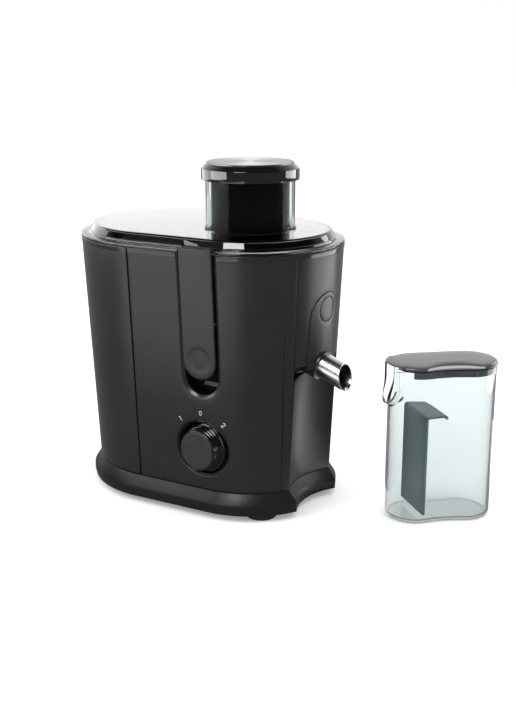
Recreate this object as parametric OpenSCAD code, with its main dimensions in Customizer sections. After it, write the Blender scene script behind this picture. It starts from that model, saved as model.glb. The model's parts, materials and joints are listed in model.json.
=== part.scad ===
// Centrifugal juicer with a feed tube, a steel spout, a pulp container and a loose juice jug.
// Frame: millimetres, +Z up, origin on the worktop under the middle of the whole set,
// +X towards the spout, -Y towards the user. Parts are drawn round the drive spindle's axis.

/* [Body] */
// Radius of the body about the spindle, at the rim
rim_r = 88.8; // [86:0.2:92]
// Radius of the pulp end of the body, at the rim
pulp_r = 97.4; // [94:0.2:100]
// Distance between the centres of the two round ends
end_pitch = 83.6; // [76:0.2:90]
// Height of the lid's flange above the worktop
rim_z = 255.5; // [250:0.5:262]
// How much the walls lean in per millimetre going down
draft = 0.047; // [0.03:0.001:0.06]
// Wall thickness of the casings
wall = 2.6; // [2:0.1:3]

/* [Lid and feed tube] */
// Outer radius of the feed tube
tube_r = 42; // [40:0.5:44]
// Wall thickness of the feed tube
tube_wall = 3; // [2.5:0.1:3.5]
// Height of the flat top of the lid
plateau_z = 264.5; // [262:0.5:267]
// Height of the top of the pusher's cap
cap_top_z = 325.2; // [322:0.2:330]

/* [Spout] */
// Outer diameter of the steel spout
spout_d = 24; // [22:0.5:26]
// Downward slope of the spout, in degrees
spout_slope = 17.7; // [15:0.1:20]

/* [Controls] */
// Height of the dial's centre
dial_z = 67.6; // [64:0.2:72]
// Height of the pivots of the lid latches
latch_pivot_z = 188; // [184:1:192]

/* [Jug] */
// Length of the jug
jug_len = 101; // [98:1:106]
// Width of the jug at its round ends
jug_w = 55; // [54:1:60]
// Height of the jug without its lid
jug_h = 147; // [142:1:150]

/* [Hidden] */
$fn = 96;

charcoal = [0.13, 0.13, 0.14];
gloss_black = [0.03, 0.03, 0.035];
steel = [0.75, 0.76, 0.78];
clear_tint = [0.8, 0.85, 0.86, 0.35];
copper = [0.7, 0.38, 0.2];

spindle_at = [-21, -1];              // the spindle's axis, from the middle of the whole set
gap = 0.3;                            // between two bodies that move apart
fit = 0.05;                           // between two parts of one body
far = 300;                            // size of the blocks that cut space in two
arc_n = 28;                           // straight steps along each round end
body_z = 26.8;                        // lower edge of the casings
body_top = 252.5;                     // upper edge of the casings
band_z = 247.5;                       // lower edge of the band round the rim
end_grow = pulp_r - rim_r;            // how much larger the pulp end's radius is
tangent_a = acos(end_grow / end_pitch);
seam_x = -70.5;                       // joint between the casings and the pulp container
front_seam_a = -33.5;                 // joint between front cover and side pillar
side_a = 26.5;                        // half the angle of the collector's outside wall
recess_x = 137;                       // axis of the hollow side that the jug nests in
recess_r_low = 76.7;                  // its radius at the lower edge of the casings
recess_top = 134;                     // upper edge of the hollow side
deck_z = 126;                         // underside of the motor deck
deck_t = 4;
pulp_a = 36;                          // half the angle of the way over to the pulp container
pulp_half_y = 52;
pulp_z = 238;                         // sill of that way
plinth_r = 85;
feet_at = [[46, -48], [46, 48], [-126, -52], [-126, 52]];
foot_r = 14.5;
screws_at = [[30, -67], [30, 67], [-42, -76.5], [-42, 76.5]];

// Latches
latch_x = 1.7;
latch_half = 17;
latch_end_z = 135.5;
latch_top_z = 257.2;
latch_t = 3;
latch_pin_r = 1.5;
nose_y = -80.6;                       // how far the hook reaches over the flange
thumb_z = 154;
pivot_y = -77.5;
lug_r = 3.2;
lug_reach = 12;
slot_x = 2.8;
slot_half = 21;
slot_end_z = 116.7;
slot_step_z = latch_pivot_z + 12;     // the pocket is deep below this height
tray_wall = 1.8;
deep_y = -70;
shallow_inset = 5;                    // depth of the pocket above that

// Motor
damper_at = [[30, 30], [30, -30], [-30, 30], [-30, -30]];
core_bottom = 61;
core_top = 94;
coil_x = 28.5;
commutator_r = 11;
fan_r = 32.5;
cord_x = -34;
cord_z = 42;
cord_hole_r = 3.6;

// Dial
dial_x = 1;
dish_r = 27;
mark_r = 35;
dial_step = 41;

// Collector and spout
bowl_z = 134.6;
bowl_top = 252.3;
side_z = 147.5;                       // lower edge of the collector's outside wall
arch_half = 24;
arch_z = 143.6;
arch_top = 213;
spout_x = 80;
spout_z = 143.6;

// Lid and pusher
rib_r = 79.5;
lid_wall = 2.6;
tube_low_z = 172;
tube_top_z = 318;
pusher_r = 37;
cap_r = 46;

// Jug
jug_x = 178.2;
jug_y = 55;
jug_turn = 224;
waist = 3;
plate_x = 19.5;                       // the foam separator, in the jug's own axes
plate_turn = 8;                       // it stands a little askew
flap = 19.6;
lip_out = 5;                          // how far the lip round the notch stands out

module placed() translate([spindle_at[0], spindle_at[1], 0]) children();

// Radius of the casings' outside about the spindle, at height z
function r_at(z) = rim_r - (rim_z - z) * draft;

// Egg-shaped outline: an arc round the spindle and a larger one round the pulp end
function egg(r) = concat(
  [for (i = [0:arc_n]) let (a = tangent_a * (2 * i / arc_n - 1)) [r * cos(a), r * sin(a)]],
  [for (i = [0:arc_n]) let (a = tangent_a + (360 - 2 * tangent_a) * i / arc_n)
    [(r + end_grow) * cos(a) - end_pitch, (r + end_grow) * sin(a)]]);

// Solid through a list of [height, radius] egg outlines
module egg_solid(levels) {
  n = 2 * (arc_n + 1);
  last = len(levels) - 1;
  points = [for (l = levels) for (p = egg(l[1])) [p[0], p[1], l[0]]];
  sides = [for (k = [0:last - 1]) for (i = [0:n - 1]) let (j = (i + 1) % n)
    [k * n + i, k * n + i + n, k * n + j + n, k * n + j]];
  polyhedron(points, concat([[for (i = [0:n - 1]) i]], sides,
    [[for (i = [0:n - 1]) last * n + n - 1 - i]]));
}

// Egg-shaped body that follows the casings' draft, inset from their outside
module egg_body(z0, z1, inset) egg_solid([[z0, r_at(z0) - inset], [z1, r_at(z1) - inset]]);

// Cone that follows the casings' draft round the spindle
module round_body(z0, z1, inset)
  translate([0, 0, z0]) cylinder(h = z1 - z0, r1 = r_at(z0) - inset, r2 = r_at(z1) - inset);

module ring(z0, z1, r_in, r_out) translate([0, 0, z0]) difference() {
  cylinder(h = z1 - z0, r = r_out);
  translate([0, 0, -1]) cylinder(h = z1 - z0 + 2, r = r_in);
}

module rod(z0, z1, r) translate([0, 0, z0]) cylinder(h = z1 - z0, r = r);

// Everything on the spout's side of the plane x
module right_of(x) translate([x, -far, -far]) cube([2 * far, 2 * far, 2 * far]);
module left_of(x) translate([x - 2 * far, -far, -far]) cube([2 * far, 2 * far, 2 * far]);

// Wedge of space round the spindle between two angles less than 180 degrees apart
module wedge(a0, a1, z0, z1) {
  mid = (a0 + a1) / 2;
  reach = far / cos((a1 - a0) / 2);
  translate([0, 0, z0]) linear_extrude(z1 - z0) polygon([[0, 0],
    [far * cos(a0), far * sin(a0)], [reach * 1.5 * cos(mid), reach * 1.5 * sin(mid)],
    [far * cos(a1), far * sin(a1)]]);
}

// Body of the casings: egg up to the seam, then round the collector
module casing_block(z0, z1, inset) {
  intersection() { egg_body(z0, z1, inset); right_of(seam_x + inset); }
  intersection() { round_body(z0, z1, inset); left_of(-35); }
}

// Hollow side that the jug nests in
module recess(z0, z1, grow) translate([recess_x, 0, 0]) {
  r_top = recess_r_low - (recess_top - body_z) * draft;
  slope = (recess_r_low - r_top) / (recess_top - body_z);
  translate([0, 0, z0]) cylinder(h = z1 - z0, r1 = recess_r_low - (z0 - body_z) * slope + grow,
    r2 = recess_r_low - (z1 - body_z) * slope + grow);
}

// Upright slot with a round lower end, open above, as a prism along Y
module slot_prism(x, half, end_z, top_z, y0, y1) translate([0, y1, 0]) rotate([90, 0, 0])
  linear_extrude(y1 - y0) {
    translate([x, end_z + half]) circle(half);
    translate([x - half, end_z + half]) square([2 * half, top_z - end_z - half]);
  }

// Stretch of the casing wall that belongs to the front cover
module front_region() {
  front_prism(front_seam_a, 0, band_z + 0.5);
  front_prism(-side_a, band_z + 0.5, far);
}

module front_prism(seam_a, z0, z1) translate([0, 0, z0]) linear_extrude(z1 - z0)
  polygon([[seam_x - 1, -far], [seam_x - 1, 0], [0, 0], [far * cos(seam_a), far * sin(seam_a)],
    [far, -far]]);

// ---- lid latches ----

// Space for a latch, facing -Y: deep beside the lower lever, shallow above the pivot
module latch_pocket() {
  slot_prism(slot_x, slot_half, slot_end_z, slot_step_z, -far, deep_y);
  difference() {
    slot_prism(slot_x, slot_half, slot_end_z, body_top + 5, -far, 0);
    round_body(slot_end_z - 2, body_top + 6, shallow_inset);
  }
}

module latch_tray() intersection() {
  union() {
    slot_prism(slot_x, slot_half + tray_wall, slot_end_z - tray_wall, slot_step_z + tray_wall,
      -far, deep_y + tray_wall);
    difference() {
      slot_prism(slot_x, slot_half + tray_wall, slot_end_z - tray_wall, body_top, -far, 0);
      round_body(slot_end_z - 4, body_top + 1, shallow_inset + tray_wall);
    }
  }
  egg_body(body_z, body_top, 1);
}

module latch_pin_line(r, half) translate([slot_x - half, pivot_y, latch_pivot_z])
  rotate([0, 90, 0]) cylinder(h = 2 * half, r = r);

// Lever with a hook over the lid's flange, a round thumb mark and two pivot lugs
module latch() difference() {
  union() {
    intersection() {
      difference() {
        egg_body(body_z, latch_top_z, 0);
        egg_body(body_z - 1, latch_top_z + 1, latch_t);
      }
      slot_prism(latch_x, latch_half, latch_end_z, latch_top_z, -far, -60);
    }
    intersection() {
      egg_body(rim_z + gap, latch_top_z, 0);
      slot_prism(latch_x, latch_half, latch_end_z, latch_top_z, -far, nose_y);
    }
    intersection() {
      egg_body(body_z, latch_top_z, 1);
      for (x = [-11, 8]) translate([latch_x + x, pivot_y - lug_reach, latch_pivot_z - lug_r])
        cube([3, lug_reach + lug_r, 2 * lug_r]);
    }
  }
  latch_pin_line(latch_pin_r + 0.06, slot_half);
  translate([latch_x, -r_at(thumb_z) + 0.5, thumb_z]) rotate([90, 0, 0]) ring(0, 6, 11, 12);
}

module front_latch() placed() color(charcoal) latch();
module rear_latch() placed() color(charcoal) mirror([0, 1, 0]) latch();

module latch_pins() placed() color(steel) for (side = [0, 1]) mirror([0, side, 0])
  latch_pin_line(latch_pin_r, slot_half + tray_wall);

// ---- casing ----

module screw_boss(p) translate([p[0], p[1], 0]) difference() {
  rod(12, 46, 5);
  rod(0, 27, 1.6);
}

// Band round the foot of the body, with a sloping shoulder
module plinth() placed() color(charcoal) difference() {
  base_solid(0, 6, 26.5);
  difference() { base_solid(-3, 5, 27); plinth_recess(3); }
  plinth_recess(0);
  for (p = screws_at) translate([p[0], p[1], 0]) rod(11.8, 30, 5.1);
}

// Plate inside the band: low under the motor, high and open below under the pulp container
module base_pan() placed() color(charcoal) difference() {
  intersection() {
    union() {
      intersection() { rod(6, 9, far); right_of(seam_x - 3); }
      intersection() { rod(23.4, 26.4, far); left_of(seam_x); }
      intersection() { rod(6, 26.4, far); right_of(seam_x - 3); left_of(seam_x); }
      for (p = feet_at) translate([p[0], p[1], 0]) rod(6, 24, 7);
      for (p = screws_at) translate([p[0], p[1], 0]) rod(6, 11.8, 6.5);
    }
    difference() { base_solid(-3 - fit, 5, 27); plinth_recess(3 + fit); }
  }
  for (p = feet_at) translate([p[0], p[1], 0]) rod(5, 10, 3.05);
  for (p = screws_at) translate([p[0], p[1], 0]) {
    rod(0, 12, 1.7);
    rod(0, 7.6, 4.2);
  }
  for (a = [60:30:300]) rotate(a) translate([22, -1.6, 0]) cube([14, 3.2, 12]);
}

module base_solid(grow, z0, z1) egg_solid([[z0, plinth_r + grow], [16, plinth_r + grow],
  [z1, r_at(body_z) + grow]]);

module plinth_recess(grow) translate([recess_x, 0, 0]) {
  rod(-1, 16, 69 + grow);
  translate([0, 0, 16]) cylinder(h = 10.8, r1 = 69 + grow, r2 = recess_r_low + 0.15 + grow);
}

module feet() placed() color([0.08, 0.08, 0.08]) for (p = feet_at) translate([p[0], p[1], 0]) {
  cylinder(h = 1, r1 = foot_r - 0.8, r2 = foot_r);
  rod(1, 6, foot_r);
  rod(6, 10, 3);
}

module base_screws() placed() color(steel) for (p = screws_at) translate([p[0], p[1], 0]) difference() {
  union() { rod(5.2, 7.6, 3.6); rod(7.6, 26, 1.5); }
  for (a = [0, 90]) rotate(a) translate([-2, -0.4, 0]) cube([4, 0.8, 6.4]);
}

// Outside wall of the casings, up to the seam with the pulp container
module casing_wall() difference() {
  intersection() { egg_body(body_z, body_top, 0); right_of(seam_x); }
  egg_body(body_z - 1, body_top + 1, wall);
}

module slot_cut(grow) slot_prism(slot_x, slot_half + grow, slot_end_z - grow, body_top + 5, -far, -50);

module front_cover() placed() color(charcoal) difference() {
  union() {
    intersection() { casing_wall(); front_region(); }
    for (i = [0, 2]) screw_boss(screws_at[i]);
  }
  slot_cut(tray_wall + fit);
  dial_axis() rod(-5, 40, dish_r);
}

// Walls of the hollow behind a latch, with the holes for its pivot pin
module pocket_liner() difference() {
  latch_tray();
  latch_pocket();
  latch_pin_line(latch_pin_r + 0.05, slot_half + tray_wall);
}

module front_pocket() placed() color(charcoal) pocket_liner();
module rear_pocket() placed() color(charcoal) mirror([0, 1, 0]) pocket_liner();

module rear_housing() placed() color(charcoal) difference() {
  union() {
    intersection() {
      casing_wall();
      translate([-far, 0, 0]) cube([2 * far, far, far]);
    }
    for (i = [1, 3]) screw_boss(screws_at[i]);
  }
  wedge(0, side_a, recess_top, far);
  recess(body_z - 2, recess_top + 0.01, wall + fit);
  mirror([0, 1, 0]) slot_cut(tray_wall + fit);
  cord_axis() rod(-20, 20, cord_hole_r + 2.2);
}

// Hollow side that the jug nests in, with the pillar in front of it
module side_wall() placed() color(charcoal) difference() {
  union() {
    intersection() {
      difference() {
        round_body(body_z, band_z + 0.5, 0);
        round_body(body_z - 1, body_top, wall);
      }
      wedge(front_seam_a, -side_a, 0, far);
    }
    intersection() {
      round_body(body_z, recess_top, 0);
      recess(body_z - 1, recess_top + 1, wall);
    }
  }
  recess(body_z - 2, recess_top + 2, 0);
}

// Wall between the works and the pulp container, with the way over it near the top
module divider_wall() placed() color(charcoal) difference() {
  intersection() {
    union() {
      round_body(body_z, body_top, 0);
      intersection() { egg_body(body_z, body_top, wall + fit); right_of(seam_x); }
    }
    egg_body(body_z - 1, body_top + 1, wall + fit);
    left_of(seam_x + wall);
  }
  round_body(body_z - 1, body_top + 1, wall);
  wedge(180 - pulp_a, 180 + pulp_a, pulp_z, far);
}

// Bush that grips the supply cord where it enters the back
module cord_gland() placed() color([0.06, 0.06, 0.06]) cord_axis() difference() {
  union() {
    rod(-6, 5.4, cord_hole_r + 2.1);
    rod(3.6, 5.4, 9);
    translate([0, 0, 5.4]) cylinder(h = 8.6, r1 = cord_hole_r + 2.1, r2 = cord_hole_r + 1.2);
  }
  rod(-8, 30, cord_hole_r);
}

module cord_axis() translate([cord_x, r_at(cord_z) + 1.5, cord_z]) rotate([-90, 0, 0]) children();

// Plate across the casings that carries the collector above and the motor below
module motor_deck() placed() color([0.2, 0.2, 0.21]) difference() {
  union() {
    casing_block(deck_z, deck_z + deck_t, wall + 0.1);
    ring(deck_z - 3, deck_z, 20, 24);
  }
  rod(deck_z - 4, deck_z + 5, 20);
  recess(deck_z - 5, deck_z + 6, wall + 0.2);
  for (side = [0, 1]) mirror([0, side, 0])
    translate([slot_x - slot_half - 2.2, -far, deck_z - 1])
      cube([2 * slot_half + 4.4, far + deep_y + 2.2, 10]);
  for (p = damper_at) translate([p[0], p[1], 0]) rod(deck_z - 1, deck_z + 10, 2.2);
}

module deck_screws() placed() color(steel) for (p = damper_at) translate([p[0], p[1], 0]) difference() {
  union() { rod(deck_z + deck_t, deck_z + deck_t + 2.2, 4); rod(108, deck_z + deck_t, 1.9); }
  for (a = [0, 90]) rotate(a) translate([-2.2, -0.4, deck_z + deck_t + 1]) cube([4.4, 0.8, 3]);
}

module motor_dampers() placed() color([0.1, 0.1, 0.1]) for (p = damper_at) translate([p[0], p[1], 0])
  difference() {
    union() { rod(114, deck_z, 6); rod(117.5, 121, 7.5); }
    rod(100, 140, 2);
  }

// ---- motor ----

module bracket_legs(z0, z1) for (a = [45:90:315]) rotate(a) translate([37.4, 0, z0])
  linear_extrude(z1 - z0) translate([-3.5, -4.5]) square([5, 9]);

module upper_bracket() placed() color([0.55, 0.56, 0.58]) difference() {
  union() {
    ring(110, 114, 16, 45);
    ring(110, 124, 12.55, 16);
    bracket_legs(core_top, 111);
  }
  rod(100, 119, 12.5);
  rod(100, 130, 6);
  for (a = [0:90:270]) rotate(a) translate([32, 0, 105]) rod(0, 12, 7);
  for (p = damper_at) translate([p[0], p[1], 0]) rod(105, 120, 2);
}

module lower_bracket() placed() color([0.55, 0.56, 0.58]) difference() {
  union() {
    ring(34, 38, 16, 44);
    ring(30, 40, 11.05, 15);
    for (a = [0:60:300]) rotate(a) translate([13.5, -3, 34]) cube([12, 6, 4]);
    bracket_legs(37, core_bottom);
  }
  rod(32, 50, 11);
  rod(20, 50, 6);
}

module bearings() placed() color(steel) {
  ring(32, 39, 4, 11);
  ring(110, 118.5, 4, 12.5);
}

// Laminated field core with two poles and two winding slots
module stator_core() placed() color([0.45, 0.45, 0.47]) difference() {
  intersection() {
    rod(core_bottom, core_top, 41);
    translate([-36, -36, core_bottom]) cube([72, 72, core_top - core_bottom]);
  }
  rod(0, 200, 24);
  for (side = [-1, 1]) for (y = [-1, 1]) translate([side * coil_x, y * 13, 0])
    translate([-4.2, -5, 0]) cube([8.4, 10, 200]);
}

module field_coil() {
  for (x = [-1, 1]) translate([x * coil_x - 3.5, -17.4, core_bottom - 8]) cube([7, 8.6, 49]);
  for (z = [core_bottom - 9, core_top + 1]) intersection() {
    ring(z, z + 8, 25.5, 33);
    wedge(-150, -30, z - 1, z + 10);
  }
}

module stator_coils() placed() color(copper) for (side = [0, 1]) mirror([0, side, 0]) field_coil();

module brush_holders() placed() color([0.3, 0.22, 0.12]) for (a = [0, 180]) rotate(a)
  difference() {
    translate([13.5, -5, 100.5]) cube([16, 10, 8]);
    translate([10, -3, 102]) cube([30, 6, 5]);
  }

module carbon_brushes() placed() color([0.15, 0.15, 0.15]) for (a = [0, 180]) rotate(a)
  translate([commutator_r + 0.3, -2.9, 102.1]) cube([14, 5.8, 4.8]);

module motor_shaft() placed() color(steel) {
  rod(28, 150, 3.95);
  rod(60, 98, 6);
}

module armature() placed() color([0.5, 0.5, 0.52]) difference() {
  rod(core_bottom, core_top, 23);
  rod(0, 200, 6);
  for (a = [0:30:330]) rotate(a) translate([16, -1.6, 0]) cube([10, 3.2, 200]);
}

module commutator() placed() color(copper) difference() {
  rod(101, 108.5, commutator_r);
  rod(90, 120, 3.95);
  for (a = [0:30:330]) rotate(a) translate([commutator_r - 1, -0.3, 0]) cube([3, 0.6, 200]);
}

module cooling_fan() placed() color([0.3, 0.3, 0.3]) difference() {
  union() {
    rod(42, 51, 7);
    ring(42, 44, 5, fan_r);
    for (a = [0:30:330]) rotate(a) translate([6, -0.8, 43]) cube([fan_r - 7, 1.6, 8]);
  }
  rod(0, 200, 3.95);
}

// Six-spline driver that the basket drops onto
module drive_coupling() placed() color(charcoal) difference() {
  union() {
    rod(132, 154, 9.5);
    for (a = [0:60:300]) rotate(a) translate([0, -1.2, 136]) cube([11.4, 2.4, 17]);
  }
  rod(100, 150, 3.95);
}

// ---- controls ----

module dial_axis() translate([dial_x, -72.5, dial_z]) rotate([90, 0, 0]) children();

module dial_bezel() placed() color(gloss_black) intersection() {
  dial_axis() difference() {
    rod(-1.5, 12, dish_r - 0.1);
    rod(0.5, 20, dish_r - 1.8);
    rod(-5, 5, 5);
  }
  egg_body(body_z, 120, 0);
}

module speed_knob() placed() color(gloss_black) dial_axis() {
  difference() {
    union() {
      rod(1, 4, 23.2);
      translate([0, 0, 4]) cylinder(h = 12, r1 = 21.8, r2 = 19.2);
    }
    translate([0, 0, 14.8]) cylinder(h = 2, r = 18.05);
  }
  rod(-16, 1, 3);
}

module knob_face() placed() color(charcoal) dial_axis() difference() {
  rod(14.8, 16.6, 18);
  translate([-0.8, 11, 16]) cube([1.6, 6, 2]);
}

module speed_switch() placed() color([0.25, 0.25, 0.27]) dial_axis() difference() {
  union() {
    translate([-15, -15, -18]) cube([30, 30, 15]);
    rod(-3, -1.5, 8);
  }
  rod(-17, 0, 3.08);
}

// Raised position marks round the dial: a ring at rest, one stroke and two strokes
module dial_marks() placed() color([0.8, 0.8, 0.8]) intersection() {
  union() {
    dial_axis() translate([0, mark_r, 0]) ring(0, 30, 1.7, 2.5);
    dial_axis() rotate(dial_step) translate([-0.35, mark_r - 2.5, 0]) cube([0.7, 5, 30]);
    dial_axis() rotate(-dial_step) for (x = [-1.4, 1.4])
      translate([x - 0.35, mark_r - 2.5, 0]) cube([0.7, 5, 30]);
  }
  difference() {
    egg_body(70, 120, -0.25);
    egg_body(69, 121, 0);
  }
}

module control_board() placed() color([0.1, 0.35, 0.2]) {
  translate([-28, 60, 44]) cube([56, 1.6, 52]);
  translate([-20, 50, 52]) cube([14, 10, 20]);
  translate([4, 48, 50]) cube([16, 12, 12]);
  translate([6, 53, 74]) cube([10, 7, 14]);
}

// Interlock switch that the closed front latch holds down
module safety_switch() placed() color([0.2, 0.2, 0.22]) {
  translate([-33, -79.5, 180]) cube([10, 7, 17]);
  translate([-23, -77, 187]) cube([1.2, 2.6, 2.6]);
}

// ---- juice collector ----

module spout_axis() translate([spout_x, 0, spout_z]) rotate([0, 90 + spout_slope, 0]) children();

// Arch with a round top, as a prism along X
module arch_prism(half, z0, z1, x0, x1) translate([x0, 0, 0]) rotate([90, 0, 90])
  linear_extrude(x1 - x0) {
    translate([0, z1 - half]) circle(half);
    translate([-half, z0]) square([2 * half, z1 - half - z0]);
  }

// Bowl that the basket turns in, its rim cut down towards the pulp container
module juice_collector() placed() color(charcoal) difference() {
  rotate_extrude() polygon([[67.5, 200], [78, 244], [78, bowl_top], [75.6, bowl_top],
    [75.6, 244.6], [65.1, 200.4], [65.1, 200]]);
  wedge(180 - pulp_a, 180 + pulp_a, pulp_z, far);
}

module collector_bowl() placed() color(charcoal) difference() {
  rotate_extrude() polygon([[67, bowl_z + 2.4], [67.5, 200], [65.1, 200], [64.6, bowl_z + 2.4]]);
  spout_axis() rod(-24, 60, spout_d / 2 + 2.45);
}

module collector_floor() placed() color(charcoal) difference() {
  ring(bowl_z, bowl_z + 2.4, 17, 67);
  spout_axis() rod(-24, 60, spout_d / 2 + 2.45);
}

module collector_tube() placed() color(charcoal) ring(bowl_z + 2.4, 152, 17, 19.2);

// Outside wall of the collector, between the pillars, and the neck round the spout
module collector_skirt() placed() color(charcoal) difference() {
  union() {
    intersection() {
      difference() {
        round_body(side_z, bowl_top, 0);
        difference() {
          round_body(side_z - 1, bowl_top - 2.4, wall);
          wedge(-side_a + 0.25, -side_a + 2, 0, far);
          wedge(side_a - 2, side_a - 0.25, 0, far);
        }
        rotate_extrude() polygon([[0, 100], [67 + fit, 100], [67.5 + fit, 200], [78 + fit, 244],
          [78 + fit, 260], [0, 260]]);
      }
      wedge(-side_a + 0.25, side_a - 0.25, side_z, far);
    }
    intersection() {
      spout_axis() rod(-19, 6, spout_d / 2 + 2.4);
      difference() {
        round_body(recess_top + 0.6, 200, 1);
        rod(100, 200, 64.4);
      }
    }
  }
  spout_axis() rod(-24, 60, spout_d / 2 + 0.02);
  intersection() {
    arch_prism(arch_half + 0.3, 0, arch_top + 0.3, 60, 120);
    difference() { round_body(100, 230, -5); round_body(99, 231, 1.5); }
  }
}

// Arched panel over the spout with a round mark near its top
module spout_cover() placed() color(charcoal) difference() {
  intersection() {
    arch_prism(arch_half, arch_z, arch_top, 60, 120);
    difference() { round_body(arch_z, 230, -0.4); round_body(arch_z - 1, 231, 1.4); }
  }
  spout_axis() rod(-24, 60, spout_d / 2 + 0.3);
  translate([r_at(197) + 0.1, 0, 197]) rotate([0, 90, 0]) ring(0, 6, 11.4, 12);
}

module juice_spout() placed() color(steel) difference() {
  spout_axis() rod(-17, 40, spout_d / 2);
  spout_axis() rod(-30, 60, spout_d / 2 - 1);
  translate([107, 0, 134.6]) rotate([0, -7.9, 0]) translate([0, -50, -50]) cube([100, 100, 100]);
}

// ---- filter basket ----

module basket_hub() placed() color(charcoal) difference() {
  union() {
    rod(157.5, 161, 47);
    rod(138, 158, 15.6);
    rod(161, 166, 6);
    ring(161, 164, 44.2, 47.6);
  }
  rod(130, 157, 9.7);
  for (a = [0:60:300]) rotate(a) translate([0, -1.4, 130]) cube([11.6, 2.8, 27]);
}

// Steel disc with rows of raised cutting teeth
module grater_disc() placed() color(steel) {
  ring(161, 162.4, 6, 44);
  for (row = [0:4]) for (i = [0:7 + 3 * row]) rotate(360 * i / (8 + 3 * row) + 11 * row)
    translate([12 + 6.5 * row, 0, 162.3]) rotate([90, 0, 0]) translate([0, 0, -0.4])
      linear_extrude(0.8) polygon([[-1.5, 0], [1.5, 0], [0.6, 1.8]]);
}

module filter_mesh() placed() color(steel) difference() {
  rotate_extrude() polygon([[44.4, 164], [46.4, 164], [62.6, 229], [61.8, 229], [45.4, 164.8],
    [44.4, 164.8]]);
  for (row = [0:3]) for (i = [0:17]) rotate(i * 20 + 5 * row)
    translate([44, -2, 172 + 14 * row]) cube([22, 4, 6]);
}

module basket_rim() placed() color(charcoal) rotate_extrude() polygon([[62.8, 226], [66, 226],
  [66.6, 234], [64, 235], [61, 231], [61, 229.2], [62.8, 229.2]]);

// ---- lid and pusher ----

// Clear cover over bowl and pulp container: flange, stepped wall and flat top
module lid_whole() difference() {
  union() {
    egg_solid([[body_top + gap, rim_r + 0.3], [rim_z, rim_r + 0.3]]);
    egg_solid([[rim_z - 0.5, rim_r - 7.6], [rim_z + 2, rim_r - 8], [rim_z + 2.2, rim_r - 8.9],
      [plateau_z - 1.8, rim_r - 11.8], [plateau_z, rim_r - 13.3]]);
  }
  difference() {
    egg_solid([[body_top - 1, rim_r - 10.4], [rim_z + 1, rim_r - 11],
      [plateau_z - lid_wall, rim_r - 15]]);
    difference() {
      ring(body_top + gap, plateau_z, rib_r - 1, rib_r + 1);
      wedge(180 - pulp_a - 6, 180 + pulp_a + 6, 0, far);
    }
  }
  for (side = [0, 1]) mirror([0, side, 0])
    slot_prism(latch_x, latch_half + 0.5, 200, far, -far, nose_y + 0.5);
}

module lid_middle(inset, z0) egg_solid([[z0, rim_r - inset], [plateau_z + 1, rim_r - inset]]);

module lid_cover() placed() color(clear_tint) difference() {
  intersection() { lid_whole(); lid_middle(15.5, plateau_z - lid_wall); }
  rod(0, 400, tube_r);
}

module lid_rim() placed() color(clear_tint) difference() {
  lid_whole();
  lid_middle(15.5 - fit, plateau_z - lid_wall - fit);
}

module feed_tube() placed() color(clear_tint) {
  ring(tube_low_z, tube_top_z, tube_r - tube_wall, tube_r);
  ring(plateau_z, plateau_z + 1.6, tube_r - 1, tube_r + 1.2);
}

module pusher() placed() color(gloss_black) difference() {
  rod(176, 322, pusher_r);
  rod(179, 330, pusher_r - 2.6);
}

module pusher_cap() placed() color(gloss_black) difference() {
  union() {
    rod(310, cap_top_z - 4.5, cap_r);
    translate([0, 0, cap_top_z - 4.5]) cylinder(h = 4.5, r1 = cap_r, r2 = cap_r - 4.6);
  }
  rod(300, tube_top_z + gap, tube_r + 0.6);
  rod(300, 322, pusher_r);
}

module pusher_cap_disc() placed() color([0.7, 0.71, 0.72]) rod(cap_top_z, cap_top_z + 1.2, cap_r - 5.2);

// ---- pulp container ----

module container_space(inset, z0, z1) difference() {
  intersection() {
    egg_body(z0, z1, inset);
    left_of(seam_x - 0.6 - inset);
  }
  round_body(z0 - 1, z1 + 1, -0.8 - inset);
}

module pulp_container() placed() color(charcoal) difference() {
  container_space(0, body_z + gap, body_top);
  container_space(2.4, body_z + gap + 2.6, body_top + 10);
  translate([-110, -pulp_half_y, pulp_z]) cube([100, 2 * pulp_half_y, 40]);
}

// ---- jug ----

module on_jug() translate([jug_x, jug_y, 0]) rotate(jug_turn) children();

// Plan of the jug: two round ends and a slight waist
module jug_plan(grow) {
  half_w = jug_w / 2;
  end_x = jug_len / 2 - half_w;
  waist_r = (pow(end_x, 2) + pow(waist, 2)) / (2 * waist);
  for (side = [-1, 1]) translate([side * end_x, 0]) circle(half_w + grow);
  difference() {
    square([2 * end_x, 2 * (half_w + grow)], center = true);
    for (side = [-1, 1]) translate([0, side * (half_w - waist + waist_r)]) circle(waist_r - grow);
  }
}

module jug_prism(z0, z1, grow) translate([0, 0, z0]) linear_extrude(z1 - z0) jug_plan(grow);

// U-shaped opening in the end wall that the spout drops into
module jug_notch(half, z0, z1) rotate(90) slot_prism(0, half, z0, z1, -far, -38);

module jug() placed() color(clear_tint) on_jug() difference() {
  union() {
    jug_prism(0, jug_h, 0);
    intersection() {
      jug_prism(105, jug_h, lip_out);
      jug_notch(20.2, 110.8, jug_h);
    }
  }
  jug_prism(3, jug_h + 1, -2.2);
  jug_notch(18, 113, jug_h + 1);
}

// Plate across the jug with a flap along its top that holds the foam back
module foam_separator() placed() color([0.4, 0.5, 0.5, 0.7]) on_jug() intersection() {
  jug_prism(3.2, 110, -2.5);
  union() {
    translate([plate_x, 24, 0]) rotate([0, 0, plate_turn]) {
      translate([0, -70, 8]) cube([2, 110, 96]);
      translate([-flap, -70, 102]) cube([flap + 1, 110, 2]);
      translate([-flap, -70, 100]) cube([2, 110, 3]);
    }
  }
}

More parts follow.
